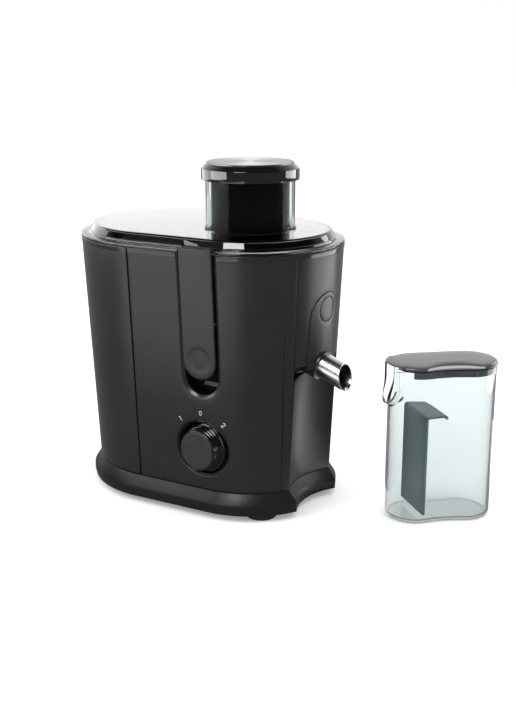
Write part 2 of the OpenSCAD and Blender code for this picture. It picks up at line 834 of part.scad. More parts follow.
module jug_lid() placed() color([0.35, 0.35, 0.38]) on_jug() difference() {
  union() {
    jug_prism(jug_h + gap, jug_h + 3, 1.2);
    jug_prism(jug_h + 3, jug_h + 5, 0);
    difference() {
      jug_prism(jug_h - 7, jug_h + 1, -2.5);
      jug_prism(jug_h - 8, jug_h + gap, -4.3);
      translate([34, -40, 100]) cube([60, 80, 60]);
    }
  }
  jug_notch(18.5, 112.5, jug_h + 3.4);
}

plinth();
base_pan();
feet();
base_screws();
front_cover();
front_pocket();
rear_housing();
rear_pocket();
side_wall();
divider_wall();
motor_deck();
deck_screws();
motor_dampers();
upper_bracket();
lower_bracket();
bearings();
stator_core();
stator_coils();
brush_holders();
carbon_brushes();
motor_shaft();
armature();
commutator();
cooling_fan();
drive_coupling();
speed_switch();
control_board();
safety_switch();
cord_gland();
dial_bezel();
dial_marks();
speed_knob();
knob_face();
front_latch();
rear_latch();
latch_pins();
juice_collector();
collector_bowl();
collector_floor();
collector_tube();
collector_skirt();
spout_cover();
juice_spout();
basket_hub();
grater_disc();
filter_mesh();
basket_rim();
lid_cover();
lid_rim();
feed_tube();
pusher();
pusher_cap();
pusher_cap_disc();
pulp_container();
jug();
foam_separator();
jug_lid();
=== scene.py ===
"""Looks of the centrifugal juicer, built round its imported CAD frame."""

import json
import math

import bmesh
import bpy
import numpy as np
from mathutils import Matrix, Vector
from mathutils.geometry import delaunay_2d_cdt


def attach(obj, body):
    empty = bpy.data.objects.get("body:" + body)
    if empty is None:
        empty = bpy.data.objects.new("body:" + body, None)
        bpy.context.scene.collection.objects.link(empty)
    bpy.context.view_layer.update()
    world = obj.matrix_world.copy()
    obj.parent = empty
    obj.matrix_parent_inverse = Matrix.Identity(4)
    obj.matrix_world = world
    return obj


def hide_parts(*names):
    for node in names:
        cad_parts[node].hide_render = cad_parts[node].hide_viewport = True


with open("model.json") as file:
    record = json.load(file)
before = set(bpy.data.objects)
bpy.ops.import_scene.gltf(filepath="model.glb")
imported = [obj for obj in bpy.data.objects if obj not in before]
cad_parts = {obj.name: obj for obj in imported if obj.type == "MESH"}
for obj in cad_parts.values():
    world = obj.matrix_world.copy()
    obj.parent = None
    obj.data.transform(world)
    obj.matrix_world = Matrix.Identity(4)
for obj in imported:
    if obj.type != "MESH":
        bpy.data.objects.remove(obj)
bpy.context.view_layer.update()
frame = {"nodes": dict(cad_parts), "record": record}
MM = 0.001
HUB = next(j["pos_m"] for j in frame["record"]["behaviour"]["joints"] if j["name"] == "spindle_spin")
HUB = Vector((HUB[0], HUB[1], 0.0))       # foot of the spindle; shapes below are drawn round it
SHIFT = np.array([HUB[0], HUB[1], 0.0]) / MM
BACK = Vector((-0.57, 0.82, 0.0))         # away from the camera

# ---------------------------------------------------------------- measures, in mm

RIM_R, RIM_Z, DRAFT = 88.8, 255.5, 0.047
PULP_EXTRA, END_PITCH = 8.6, 83.6
TANGENT = math.acos(PULP_EXTRA / END_PITCH)
STRAIGHT = math.sqrt(END_PITCH**2 - PULP_EXTRA**2)
U_R = 85.0                                # radius at which u is a true length
U_ARC = U_R * TANGENT
HALF_TURN = U_ARC + STRAIGHT + (U_R + PULP_EXTRA) * (math.pi - TANGENT)
BODY_Z, BODY_TOP, BAND_Z = 26.8, 252.5, 247.5
WALL = 2.6
SEAM_X = -70.5
FRONT_SEAM, SIDE_A = math.radians(33.5), math.radians(26.5)
RECESS_X, RECESS_R, RECESS_TOP = 137.0, 76.7, 134.0
SIDE_Z = 147.5
PULP_A, PULP_HALF_Y, PULP_Z = math.radians(36), 52.0, 238.0
LATCH_X, LATCH_HALF, LATCH_END, LATCH_TOP = 1.7, 17.0, 135.5, 257.2
SLOT_X, SLOT_HALF, SLOT_END = 2.8, 21.0, 116.7
DIAL_X, DIAL_Y, DIAL_Z, DISH_R = 1.0, -72.5, 67.6, 27.0
PLATEAU_Z = 264.5
TUBE_R, TUBE_WALL = 42.0, 3.0
CAP_TOP = 325.2
SPOUT_X, SPOUT_Z, SPOUT_R, SPOUT_SLOPE = 80.0, 143.6, 12.0, math.radians(17.7)
JUG_X, JUG_Y, JUG_TURN = 178.2, 55.0, math.radians(224)
JUG_LEN, JUG_W, JUG_H, WAIST = 101.0, 55.0, 147.0, 3.0
NOTCH_HALF, NOTCH_LOW, LIP_OUT = 18.0, 113.0, 5.0
PLATE_X, PLATE_Y, PLATE_TURN = 19.5, 24.0, math.radians(8)      # near end of the foam separator


def r_at(z):
    return RIM_R - (RIM_Z - z) * DRAFT


# ---------------------------------------------------------------- mesh building


class Build:
    """Collects the vertices and faces of one mesh."""

    def __init__(self):
        self.points, self.faces, self.count = [], [], 0

    def add(self, points):
        points = np.asarray(points, float).reshape(-1, 3)
        first = self.count
        self.points.append(points)
        self.count += len(points)
        return np.arange(first, self.count)

    def strip(self, a, b, closed=True):
        """Quads between two rings of the same length; a is on the right of b when seen from outside."""
        n = len(a)
        for i in range(n if closed else n - 1):
            j = (i + 1) % n
            self.faces.append([int(a[i]), int(a[j]), int(b[j]), int(b[i])])

    def finish(self, name, body, material, replaces=(), sharp=35, weld=0.0):
        mesh = bpy.data.meshes.new(name)
        mesh.from_pydata(((np.concatenate(self.points) + SHIFT) * MM).tolist(), [], self.faces)
        if weld:
            bm = bmesh.new()
            bm.from_mesh(mesh)
            bmesh.ops.remove_doubles(bm, verts=bm.verts, dist=weld * MM)
            bm.to_mesh(mesh)
            bm.free()
        mesh.validate()
        return place(name, mesh, body, material, replaces, sharp)


def place(name, mesh, body, material, replaces=(), sharp=35):
    mesh.shade_smooth()
    mesh.set_sharp_from_angle(angle=math.radians(sharp))
    obj = bpy.data.objects.new(name, mesh)
    bpy.context.scene.collection.objects.link(obj)
    mesh.materials.append(material)
    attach(obj, body)
    if replaces:
        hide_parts(*replaces)
    return obj


def inset(loop, amount, closed=True):
    """Moves each point of a line to its left by amount, which may differ from point to point."""
    before, after = np.roll(loop, 1, 0), np.roll(loop, -1, 0)
    d1, d2 = loop - before, after - loop
    if not closed:
        d1[0], d2[-1] = d2[0], d1[-1]
    d1 /= np.linalg.norm(d1, axis=1)[:, None] + 1e-12
    d2 /= np.linalg.norm(d2, axis=1)[:, None] + 1e-12
    n1 = np.stack([-d1[:, 1], d1[:, 0]], 1)
    n2 = np.stack([-d2[:, 1], d2[:, 0]], 1)
    scale = 1 / np.maximum(1 + (n1 * n2).sum(1), 0.45)
    return loop + (n1 + n2) * (scale * amount)[:, None]


def dense(points, gap=2.0, closed=True):
    """A line with its long stretches divided, so that they can follow a curved surface."""
    points = np.asarray(points, float)
    out = []
    count = len(points) if closed else len(points) - 1
    for i in range(count):
        a, b = points[i], points[(i + 1) % len(points)]
        n = max(1, int(math.ceil(np.linalg.norm(b - a) / gap)))
        out += [a + (b - a) * k / n for k in range(n)]
    if not closed:
        out.append(points[-1])
    return np.array(out)


def inside(points, loops):
    """Which points lie in the area that the loops bound."""
    hit = np.zeros(len(points), bool)
    for loop in loops:
        a, b = loop, np.roll(loop, -1, 0)
        for (x0, y0), (x1, y1) in zip(a, b):
            if y0 == y1:
                continue
            cross = (points[:, 1] > min(y0, y1)) & (points[:, 1] <= max(y0, y1))
            x = x0 + (points[:, 1] - y0) * (x1 - x0) / (y1 - y0)
            hit ^= cross & (points[:, 0] < x)
    return hit


def fill(loops, step_u, step_z, extra=()):
    """Triangles over the area between loops: (points, triangles), the loops' own points first."""
    squeeze = step_u / step_z
    scale = np.array([1.0, squeeze])
    flat = [loop * scale for loop in loops]
    edge_points = np.concatenate(flat)
    lo, hi = edge_points.min(0), edge_points.max(0)
    grid = []
    rows = max(1, int((hi[1] - lo[1]) / step_u))
    cols = max(1, int((hi[0] - lo[0]) / step_u))
    for r in range(1, rows):
        shift = 0.25 if r % 2 else -0.25
        for c in range(1, cols):
            grid.append((lo[0] + (hi[0] - lo[0]) * (c + shift) / cols, lo[1] + (hi[1] - lo[1]) * r / rows))
    grid = np.array(grid + [(p[0], p[1] * squeeze) for p in extra]).reshape(-1, 2)
    if len(grid):
        grid = grid[inside(grid, flat)]
    if len(grid):
        far = np.ones(len(grid), bool)
        for chunk in np.array_split(edge_points, max(1, len(edge_points) // 200)):
            gap = np.linalg.norm(grid[:, None, :] - chunk[None], axis=2).min(1)
            far &= gap > 0.45 * step_u
        grid = grid[far]
    everything = np.concatenate([edge_points, grid]) if len(grid) else edge_points
    edges, first = [], 0
    for loop in flat:
        n = len(loop)
        edges += [(first + i, first + (i + 1) % n) for i in range(n)]
        first += n
    verts, _, faces, origins, _, _ = delaunay_2d_cdt([Vector(p) for p in everything], edges, [], 0, 1e-5)
    source = [o[0] if len(o) else -1 for o in origins]
    where = np.array([list(v) for v in verts])
    tri = np.array([list(f) for f in faces])
    middle = where[tri].mean(1)
    tri = tri[inside(middle, flat)]
    extra_points, index = [], []
    for i, s in enumerate(source):
        if s >= 0:
            index.append(s)
        else:
            index.append(len(everything) + len(extra_points))
            extra_points.append(where[i])
    if extra_points:
        everything = np.concatenate([everything, np.array(extra_points)])
    tri = np.array(index)[tri]
    a, b, c = everything[tri[:, 0]], everything[tri[:, 1]], everything[tri[:, 2]]
    area = (b[:, 0] - a[:, 0]) * (c[:, 1] - a[:, 1]) - (b[:, 1] - a[:, 1]) * (c[:, 0] - a[:, 0])
    tri[area < 0] = tri[area < 0][:, ::-1]
    return everything / scale, tri[np.abs(area) > 1e-9]


def panel(build, surface, loops, thick, edge=0.5, steps=(4.0, 8.0), relief=None, rounds=4, extra=()):
    """Plate on a surface, with rolled outer edges.

    surface(u, z, depth) gives points. edge is one radius for all loops, or a list with one for each loop.
    """
    loops = [np.asarray(p, float) for p in loops]
    edges = edge if isinstance(edge, list) else [edge] * len(loops)
    edges = [np.full(len(p), float(e)) if np.isscalar(e) else np.asarray(e, float) for p, e in zip(loops, edges)]
    lift = relief or (lambda u, z: 0.0)
    at = lambda p, d: surface(p[:, 0], p[:, 1], d)
    inner = []
    for loop, e in zip(loops, edges):
        rings = []
        for k in range(rounds + 1):
            a = math.pi / 2 * k / rounds
            ring = inset(loop, e * (1 - math.cos(a)))
            rings.append(build.add(at(ring, e * (1 - math.sin(a)) + lift(ring[:, 0], ring[:, 1]))))
        back = build.add(at(loop, np.full(len(loop), float(thick))))
        build.strip(back, rings[0])
        for k in range(rounds):
            build.strip(rings[k], rings[k + 1])
        inner.append((inset(loop, e), rings[-1], back))
    points, tri = fill([i[0] for i in inner], steps[0], steps[1], extra)
    edge_n = sum(len(i[1]) for i in inner)
    rest = points[edge_n:]
    front = np.concatenate([i[1] for i in inner] + [build.add(at(rest, lift(rest[:, 0], rest[:, 1]) + 0 * rest[:, 0]))])
    behind = np.concatenate([i[2] for i in inner] + [build.add(at(rest, np.full(len(rest), float(thick))))])
    build.faces += front[tri].tolist()
    build.faces += behind[tri[:, ::-1]].tolist()


def rounded(points, radii, n=5, closed=True):
    """A profile whose corners are rounded with the given radii."""
    points = np.asarray(points, float)
    count = len(points)
    radii = [radii] * count if np.isscalar(radii) else radii
    out = []
    for i in range(count):
        p, r = points[i], radii[i]
        if r <= 0 or (not closed and i in (0, count - 1)):
            out.append(p)
            continue
        a, b = points[i - 1] - p, points[(i + 1) % count] - p
        la, lb = np.linalg.norm(a), np.linalg.norm(b)
        a, b = a / la, b / lb
        half = math.acos(np.clip((a * b).sum(), -1, 1)) / 2
        t = min(r / math.tan(half), 0.49 * la, 0.49 * lb)
        r = t * math.tan(half)
        centre = p + (a + b) / np.linalg.norm(a + b) * (r / math.sin(half))
        s, e = p + a * t - centre, p + b * t - centre
        a0, a1 = math.atan2(s[1], s[0]), math.atan2(e[1], e[0])
        turn = (a1 - a0 + math.pi) % (2 * math.pi) - math.pi
        for k in range(n + 1):
            w = a0 + turn * k / n
            out.append(centre + r * np.array([math.cos(w), math.sin(w)]))
    return np.array(out)


def lathe(build, profile, seg=128, matrix=None, closed=True):
    """Turns a profile of (radius, height) points, counter-clockwise when closed, round the Z axis."""
    profile = np.asarray(profile, float)
    ang = full_turn(seg)
    rings = []
    for r, z in profile:
        ring = np.stack([r * np.cos(ang), r * np.sin(ang), np.full(seg, z)], 1)
        rings.append((ring, r < 1e-6))
    ids = []
    for ring, point in rings:
        ring = ring[:1] if point else ring
        if matrix is not None:
            ring = ring @ np.array(matrix)[:3, :3].T + np.array(matrix)[:3, 3]
        ids.append(build.add(ring))
    pairs = list(zip(ids, ids[1:])) + ([(ids[-1], ids[0])] if closed else [])
    for a, b in pairs:
        if len(a) == 1 and len(b) == 1:
            continue
        if len(a) == 1 or len(b) == 1:
            for i in range(seg):
                j = (i + 1) % seg
                if len(a) == 1:
                    build.faces.append([int(a[0]), int(b[j]), int(b[i])])
                else:
                    build.faces.append([int(a[i]), int(a[j]), int(b[0])])
        else:
            build.strip(a, b)


def cover_ring(build, ids, up, holes=(), step=6):
    """Fills a level ring with triangles round its holes; gives the new points, those of the holes first."""
    ring = np.concatenate(build.points)[ids]
    points, tri = fill([ring[:, :2], *holes], step, step)
    more = build.add(np.column_stack([points[len(ids):], np.full(len(points) - len(ids), ring[0, 2])]))
    everything = np.concatenate([ids, more])
    build.faces += (everything[tri] if up else everything[tri[:, ::-1]]).tolist()
    return more


# ---------------------------------------------------------------- surfaces


def outline(u, r):
    """Point and outward direction of the egg outline at length u, for radius r."""
    u = (np.asarray(u, float) + HALF_TURN) % (2 * HALF_TURN) - HALF_TURN
    side, s = np.where(u < 0, -1.0, 1.0), np.abs(u)
    phi = np.where(s <= U_ARC, s / U_R, TANGENT)
    beyond = s - U_ARC - STRAIGHT
    phi = np.where(beyond > 0, TANGENT + beyond / (U_R + PULP_EXTRA), phi)
    t = np.clip((s - U_ARC) / STRAIGHT, 0, 1)
    nx, ny = np.cos(phi), np.sin(phi)
    x = nx * (r + PULP_EXTRA * t) - END_PITCH * t
    y = ny * (r + PULP_EXTRA * t)
    return x, y * side, nx, ny * side


def casing(u, z, d):
    x, y, _, _ = outline(u, r_at(z) - d)
    return np.stack([x, y, z + 0 * x], 1)


def u_at_x(x, z, side=-1):
    """Length along the outline to where it crosses x, on the front for side -1."""
    x, r = np.broadcast_arrays(np.asarray(x, float), r_at(np.asarray(z, float)))
    arc = U_R * np.arccos(np.clip(x / r, -1, 1))
    t = (r * math.cos(TANGENT) - x) / (END_PITCH - PULP_EXTRA * math.cos(TANGENT))
    return side * np.where(arc <= U_ARC, arc, U_ARC + t * STRAIGHT)


def to_u(points, side=-1):
    """(x, z) points, seen along Y, as (u, z) points of the casing."""
    points = np.asarray(points, float)
    return np.stack([u_at_x(points[:, 0], points[:, 1], side), points[:, 1]], 1)


def recess_r(z):
    return RECESS_R - (z - BODY_Z) * DRAFT


def recess(u, z, d):
    a = u / RECESS_R
    r = recess_r(z) + d
    return np.stack([RECESS_X - r * np.cos(a), r * np.sin(a), z + 0 * a], 1)


def edge_angle(r, big_r):
    """Angle round the spindle where the body meets the hollow side."""
    return np.arccos((r**2 + RECESS_X**2 - big_r**2) / (2 * r * RECESS_X))


def full_turn(n):
    return np.linspace(0, 2 * math.pi, n, endpoint=False)


def arc(cx, cy, r, a0, a1, n):
    a = np.radians(np.linspace(a0, a1, n))
    return np.stack([cx + r * np.cos(a), cy + r * np.sin(a)], 1)


# ---------------------------------------------------------------- materials


class Nodes:
    def __init__(self, name):
        self.material = bpy.data.materials.new(name)
        self.material.use_nodes = True
        self.tree = self.material.node_tree
        self.tree.nodes.clear()
        self.out = self.tree.nodes.new("ShaderNodeOutputMaterial")
        self.shader = self.tree.nodes.new("ShaderNodeBsdfPrincipled")
        self.tree.links.new(self.shader.outputs["BSDF"], self.out.inputs["Surface"])
        self.place = self.tree.nodes.new("ShaderNodeTexCoord").outputs["Object"]

    def new(self, kind, **values):
        node = self.tree.nodes.new(kind)
        for key, value in values.items():
            if hasattr(node, key):
                setattr(node, key, value)
            else:
                node.inputs[key.replace("_", " ")].default_value = value
        return node

    def link(self, a, b):
        self.tree.links.new(a, b)

    def set(self, **values):
        for key, value in values.items():
            self.shader.inputs[key.replace("_", " ")].default_value = value

    def stretched(self, scale):
        node = self.new("ShaderNodeMapping", Scale=scale)
        self.link(self.place, node.inputs["Vector"])
        return node.outputs["Vector"]

    def noise(self, scale, detail=4.0, rough=0.55, vector=None):
        node = self.new("ShaderNodeTexNoise", Scale=scale, Detail=detail, Roughness=rough)
        self.link(vector or self.place, node.inputs["Vector"])
        return node.outputs["Fac"]

    def span(self, value, low, high, to_low, to_high):
        node = self.new("ShaderNodeMapRange", From_Min=low, From_Max=high, To_Min=to_low, To_Max=to_high)
        self.link(value, node.inputs["Value"])
        return node.outputs["Result"]

    def ramp(self, value, stops):
        node = self.new("ShaderNodeValToRGB")
        ramp = node.color_ramp
        ramp.elements[0].position, ramp.elements[0].color = stops[0][0], (*stops[0][1], 1)
        ramp.elements[1].position, ramp.elements[1].color = stops[-1][0], (*stops[-1][1], 1)
        for position, colour in stops[1:-1]:
            ramp.elements.new(position).color = (*colour, 1)
        self.link(value, node.inputs["Fac"])
        return node.outputs["Color"]

    def bump(self, height, distance, strength):
        node = self.new("ShaderNodeBump", Strength=strength, Distance=distance)
        self.link(height, node.inputs["Height"])
        self.link(node.outputs["Normal"], self.shader.inputs["Normal"])


def plastic(name, colour, rough, grain=0.00002, grain_scale=2600, specular=0.5, spread=0.06, vary=0.12, coat=0.0):
    """Moulded plastic: fine spark-eroded grain, slow changes of gloss and tone."""
    m = Nodes(name)
    slow, fine = m.noise(14, 3), m.noise(grain_scale, 2, 0.6)
    dark = tuple(c * (1 - vary) for c in colour)
    light = tuple(c * (1 + vary) for c in colour)
    m.link(m.ramp(slow, [(0.3, dark), (0.7, light)]), m.shader.inputs["Base Color"])
    m.link(m.span(m.noise(60, 5), 0.3, 0.7, rough - spread, rough + spread), m.shader.inputs["Roughness"])
    if grain:
        m.bump(fine, grain, 0.6)
    m.set(Specular_IOR_Level=specular, Coat_Weight=coat, Coat_Roughness=0.08)
    return m.material


def clear(name, colour, rough=0.02, ior=1.46, ripple=0.00002, specular=0.5):
    """Clear moulded plastic with faint flow ripples."""
    m = Nodes(name)
    dull = tuple(c * 0.985 for c in colour)
    m.link(m.ramp(m.noise(9, 2), [(0.35, dull), (0.65, colour)]), m.shader.inputs["Base Color"])
    m.link(m.span(m.noise(40, 4), 0.35, 0.75, rough * 0.6, rough * 1.8), m.shader.inputs["Roughness"])
    m.bump(m.noise(22, 2), ripple, 0.5)
    m.set(Transmission_Weight=1.0, IOR=ior, Specular_IOR_Level=specular)
    return m.material


def metal(name, colour, rough, streak=(300, 300, 4), depth=0.00001, spread=0.1, spun=0.0):
    """Brushed or turned metal; streak is the stretch of its scratches along X, Y and Z."""
    m = Nodes(name)
    lines = m.noise(1.0, 6, 0.7, m.stretched(streak))
    m.link(m.ramp(lines, [(0.2, tuple(c * 0.86 for c in colour)), (0.8, colour)]), m.shader.inputs["Base Color"])
    m.link(m.span(lines, 0.25, 0.75, rough - spread, rough + spread), m.shader.inputs["Roughness"])
    m.bump(lines, depth, 0.7)
    m.set(Metallic=1.0, Anisotropic=spun)
    if spun:
        around = m.new("ShaderNodeTangent", direction_type="RADIAL", axis="Z")
        m.link(around.outputs["Tangent"], m.shader.inputs["Tangent"])
    return m.material


FINE = {"grain": 0.000006, "spread": 0.03}
POLISHED = {"grain": 0.000003, "grain_scale": 300}
SMOOTH = {"grain": 0.000005, "grain_scale": 400, "spread": 0.03}

SATIN = plastic("satin_charcoal", (0.0135, 0.0135, 0.0145), 0.31, specular=0.34, **FINE)
FLARE = plastic("satin_plinth", (0.0110, 0.0110, 0.0118), 0.34, specular=0.14, **FINE)
SATIN_LATCH = plastic("satin_latch", (0.0150, 0.0150, 0.0160), 0.33, specular=0.36, **FINE)
BAND = plastic("gloss_band", (0.011, 0.011, 0.012), 0.16, grain_scale=900, **FINE)
# Near-black matt material, darker than the body's plastic: painted shade in the latches' recesses; the base pan takes
# it too.
BLACK_PAINTED_SHADE = plastic("pocket_black_painted_shade", (0.0035, 0.0035, 0.0035), 0.6, grain=0.00001, specular=0.06)
GLOSS = plastic("gloss_black_piano", (0.004, 0.004, 0.0045), 0.05, spread=0.02, coat=0.3, **POLISHED)
PUSHER = plastic("pusher_black", (0.003, 0.003, 0.0032), 0.2, specular=0.1, spread=0.03, **POLISHED)
KNOB = plastic("knob_gloss", (0.006, 0.006, 0.0065), 0.13, grain=0.000004, grain_scale=500, spread=0.03)
FACE = plastic("knob_satin", (0.022, 0.022, 0.023), 0.4, specular=0.35)
MARK = plastic("mark_grey", (0.62, 0.63, 0.63), 0.5, vary=0.05)
SMOKE_RIM = plastic("lid_rim_dark", (0.010, 0.010, 0.011), 0.2, specular=0.2, **SMOOTH)
SMOKE = plastic("lid_smoke_grey", (0.062, 0.058, 0.065), 0.22, specular=0.2, **SMOOTH)
# Light grey copy of the smoky lid plastic: a painted highlight band on the jug lid's lip.
LID_LIP_HIGHLIGHT = plastic("lid_lip_painted_highlight", (0.36, 0.345, 0.36), 0.12, specular=0.6, **SMOOTH)
SKIRT = plastic("lid_skirt_grey", (0.11, 0.12, 0.125), 0.3, specular=0.5)
INNER = plastic("inner_grey", (0.055, 0.055, 0.058), 0.42)
RUBBER = plastic("rubber", (0.012, 0.012, 0.012), 0.75, grain=0.00008, grain_scale=900, specular=0.3)
CARBON = plastic("carbon", (0.02, 0.02, 0.02), 0.7, grain=0.00005)
BOARD = plastic("board_green", (0.02, 0.12, 0.05), 0.35, grain=0.00003)
PHENOLIC = plastic("phenolic", (0.09, 0.05, 0.025), 0.5)
CLEAR = clear("clear_lid", (0.93, 0.95, 0.95))
# Dark-tinted copy of the clear lid material: painted shade on the lid's flange and stepped wall, where the black body
# shows through.
PAINTED_SHADE_CLEAR = clear("clear_lid_wall_painted_shade", (0.10, 0.10, 0.10), specular=0.3)
TUBE = clear("clear_tube", (0.82, 0.88, 0.865), ior=1.12)
JUG = clear("clear_jug", (0.84, 0.885, 0.89), rough=0.012)
SEPARATOR = plastic("separator_teal", (0.20, 0.26, 0.27), 0.22, grain=0.000005, grain_scale=300, specular=0.3,
                    spread=0.03)
STEEL = metal("spout_steel", (0.66, 0.645, 0.62), 0.22, streak=(20, 500, 500), depth=0.000002, spread=0.04)
HARD_STEEL = metal("basket_steel", (0.60, 0.61, 0.62), 0.24)
SPUN = metal("spun_disc", (0.15, 0.152, 0.155), 0.25, streak=(40, 40, 40), spread=0.04, spun=0.8)
ALLOY = metal("cast_alloy", (0.45, 0.46, 0.47), 0.45, streak=(120, 120, 120), depth=0.00005)
LAMINATION = metal("lamination", (0.36, 0.36, 0.38), 0.42, streak=(8, 8, 1800), depth=0.0001)
COPPER = metal("copper_wire", (0.72, 0.36, 0.18), 0.3, streak=(300, 300, 1500), depth=0.0001)


def dress(nodes, material):
    for name in nodes:
        mesh = frame["nodes"][name].data
        mesh.materials.clear()
        mesh.materials.append(material)


dress(["feet", "motor_dampers", "cord_gland"], RUBBER)
dress(["base_pan"], BLACK_PAINTED_SHADE)
dress(["base_screws", "deck_screws", "latch_pins", "bearings", "motor_shaft", "grater_disc", "filter_mesh"], HARD_STEEL)
dress(["motor_deck", "speed_switch", "safety_switch", "drive_coupling", "cooling_fan", "basket_hub", "basket_rim"],
      INNER)
dress(["upper_bracket", "lower_bracket"], ALLOY)
dress(["stator_core", "armature"], LAMINATION)
dress(["stator_coils", "commutator"], COPPER)
dress(["brush_holders"], PHENOLIC)
dress(["carbon_brushes"], CARBON)
dress(["control_board"], BOARD)

# ---------------------------------------------------------------- front cover and its pocket

U_FRONT, U_SIDE = -U_R * FRONT_SEAM, -U_R * SIDE_A
MOUTH, SHALLOW, DEEPER, STEP_Z = 3.4, 5.2, 10.6, 203.0      # depths of the latch's space, which steps down below STEP_Z
SLOT_EDGE = 3.4                           # width of the bevelled frame round the latch


def slot_line(half, end_z, top_z, x=SLOT_X, n=40):
    """U-shaped line, open at the top, from its right end down and round to its left end."""
    return np.concatenate([[[x + half, top_z]], arc(x, end_z + half, half, 0, -180, n), [[x - half, top_z]]])


def pocket_ring(side, grow):
    """The slot's outline, moved inwards by grow, as (u, z) points."""
    return to_u(resample(dense(slot_line(SLOT_HALF - grow, SLOT_END + grow, BODY_TOP), 2.5, closed=False), 120), side)


def pocket_frame(build, side):
    """Bevelled frame round a latch's space."""
    rings = []
    for grow, depth in ((0.0, 0.0), (0.35, 0.1), (0.9, 0.5), (SLOT_EDGE - 0.5, 2.1), (SLOT_EDGE, 2.7),
                        (SLOT_EDGE + 0.1, MOUTH)):
        ring = pocket_ring(side, grow)
        rings.append(build.add(casing(ring[:, 0], ring[:, 1], np.full(len(ring), depth))))
    for a, b in zip(rings, rings[1:]):
        build.strip(*((a, b) if side < 0 else (b, a)), closed=False)


def pocket(name, node, side):
    """Walls and floor of a latch's space, deep enough for a finger at its foot."""
    build = Build()
    ring = pocket_ring(side, SLOT_EDGE + 0.1)
    depth = lambda z: SHALLOW + DEEPER * np.clip((STEP_Z - z) / 6, 0, 1)
    mouth = build.add(casing(ring[:, 0], ring[:, 1], np.full(len(ring), MOUTH)))
    foot = build.add(casing(ring[:, 0], ring[:, 1], depth(ring[:, 1])))
    build.strip(*((mouth, foot) if side < 0 else (foot, mouth)), closed=False)
    points, tri = fill([ring if side < 0 else ring[::-1]], 4, 5)
    ids = build.add(casing(points[:, 0], points[:, 1], depth(points[:, 1])))
    build.faces += ids[tri].tolist()
    # The recess's walls and floor take the near-black material as painted shade.
    return build.finish(name, "base", BLACK_PAINTED_SHADE, [node])


def turned(loop):
    """The same loop, counter-clockwise."""
    x, y = loop[:, 0], loop[:, 1]
    return loop[::-1] if (x * np.roll(y, -1) - np.roll(x, -1) * y).sum() < 0 else loop


def resample(line, n):
    """The same open line through n evenly spaced points."""
    gaps = np.concatenate([[0], np.cumsum(np.linalg.norm(np.diff(line, axis=0), axis=1))])
    want = np.linspace(0, gaps[-1], n)
    return np.stack([np.interp(want, gaps, line[:, i]) for i in range(2)], 1)


def slot_cut(side, top_z):
    return to_u(resample(slot_line(SLOT_HALF, SLOT_END, top_z), 120), side)


def front_cover():
    b = Build()
    z_seam = np.linspace(BODY_TOP, BODY_Z, 60)
    left = np.stack([u_at_x(np.full(60, SEAM_X + 0.5), z_seam), z_seam], 1)
    step_z = BAND_Z + 0.5
    right = [[U_FRONT - 0.2, BODY_Z], [U_FRONT - 0.2, step_z], [U_SIDE - 0.2, step_z], [U_SIDE - 0.2, BODY_TOP]]
    loop = np.concatenate([left[:-1], dense([left[-1], right[0]], 4, False)[:-1], dense(right, 3, False),
                           slot_cut(-1, BODY_TOP)])
    loop = dense(loop, 3.2)
    near_slot = (np.abs(loop[:, 0] - u_at_x(SLOT_X, 190.0)) < SLOT_HALF + 2) & (loop[:, 1] > 110)
    edge = np.where(near_slot, 0.06, 0.55)
    edge[loop[:, 1] > BODY_TOP - 0.01] = 0.1
    dish = to_u(arc(DIAL_X, DIAL_Z, DISH_R, 360, 0, 97)[:-1])
    panel(b, casing, [loop, dish], WALL, [edge, 1.6], (4.0, 7.0))
    pocket_frame(b, -1)
    return b.finish("front_cover_shell", "base", SATIN, ["front_cover"])


front_cover()
pocket("front_pocket_liner", "front_pocket", -1)

# ---------------------------------------------------------------- rear housing


def gate(x, out, half, low):
    """Outline of a wall bent round the spindle behind the plane x, with the pulp's way cut from its top."""
    z = np.linspace(low, BODY_TOP, 60)
    mid, u = U_R * math.pi, U_R * (math.pi - np.arccos(-x / (r_at(z) + out)))
    right, left = np.stack([2 * mid - u, z], 1), np.stack([u, z], 1)[::-1]
    way = [[mid + half, BODY_TOP], [mid + half, PULP_Z], [mid - half, PULP_Z], [mid - half, BODY_TOP]]
    return dense(np.concatenate([right, way, left]), 3)


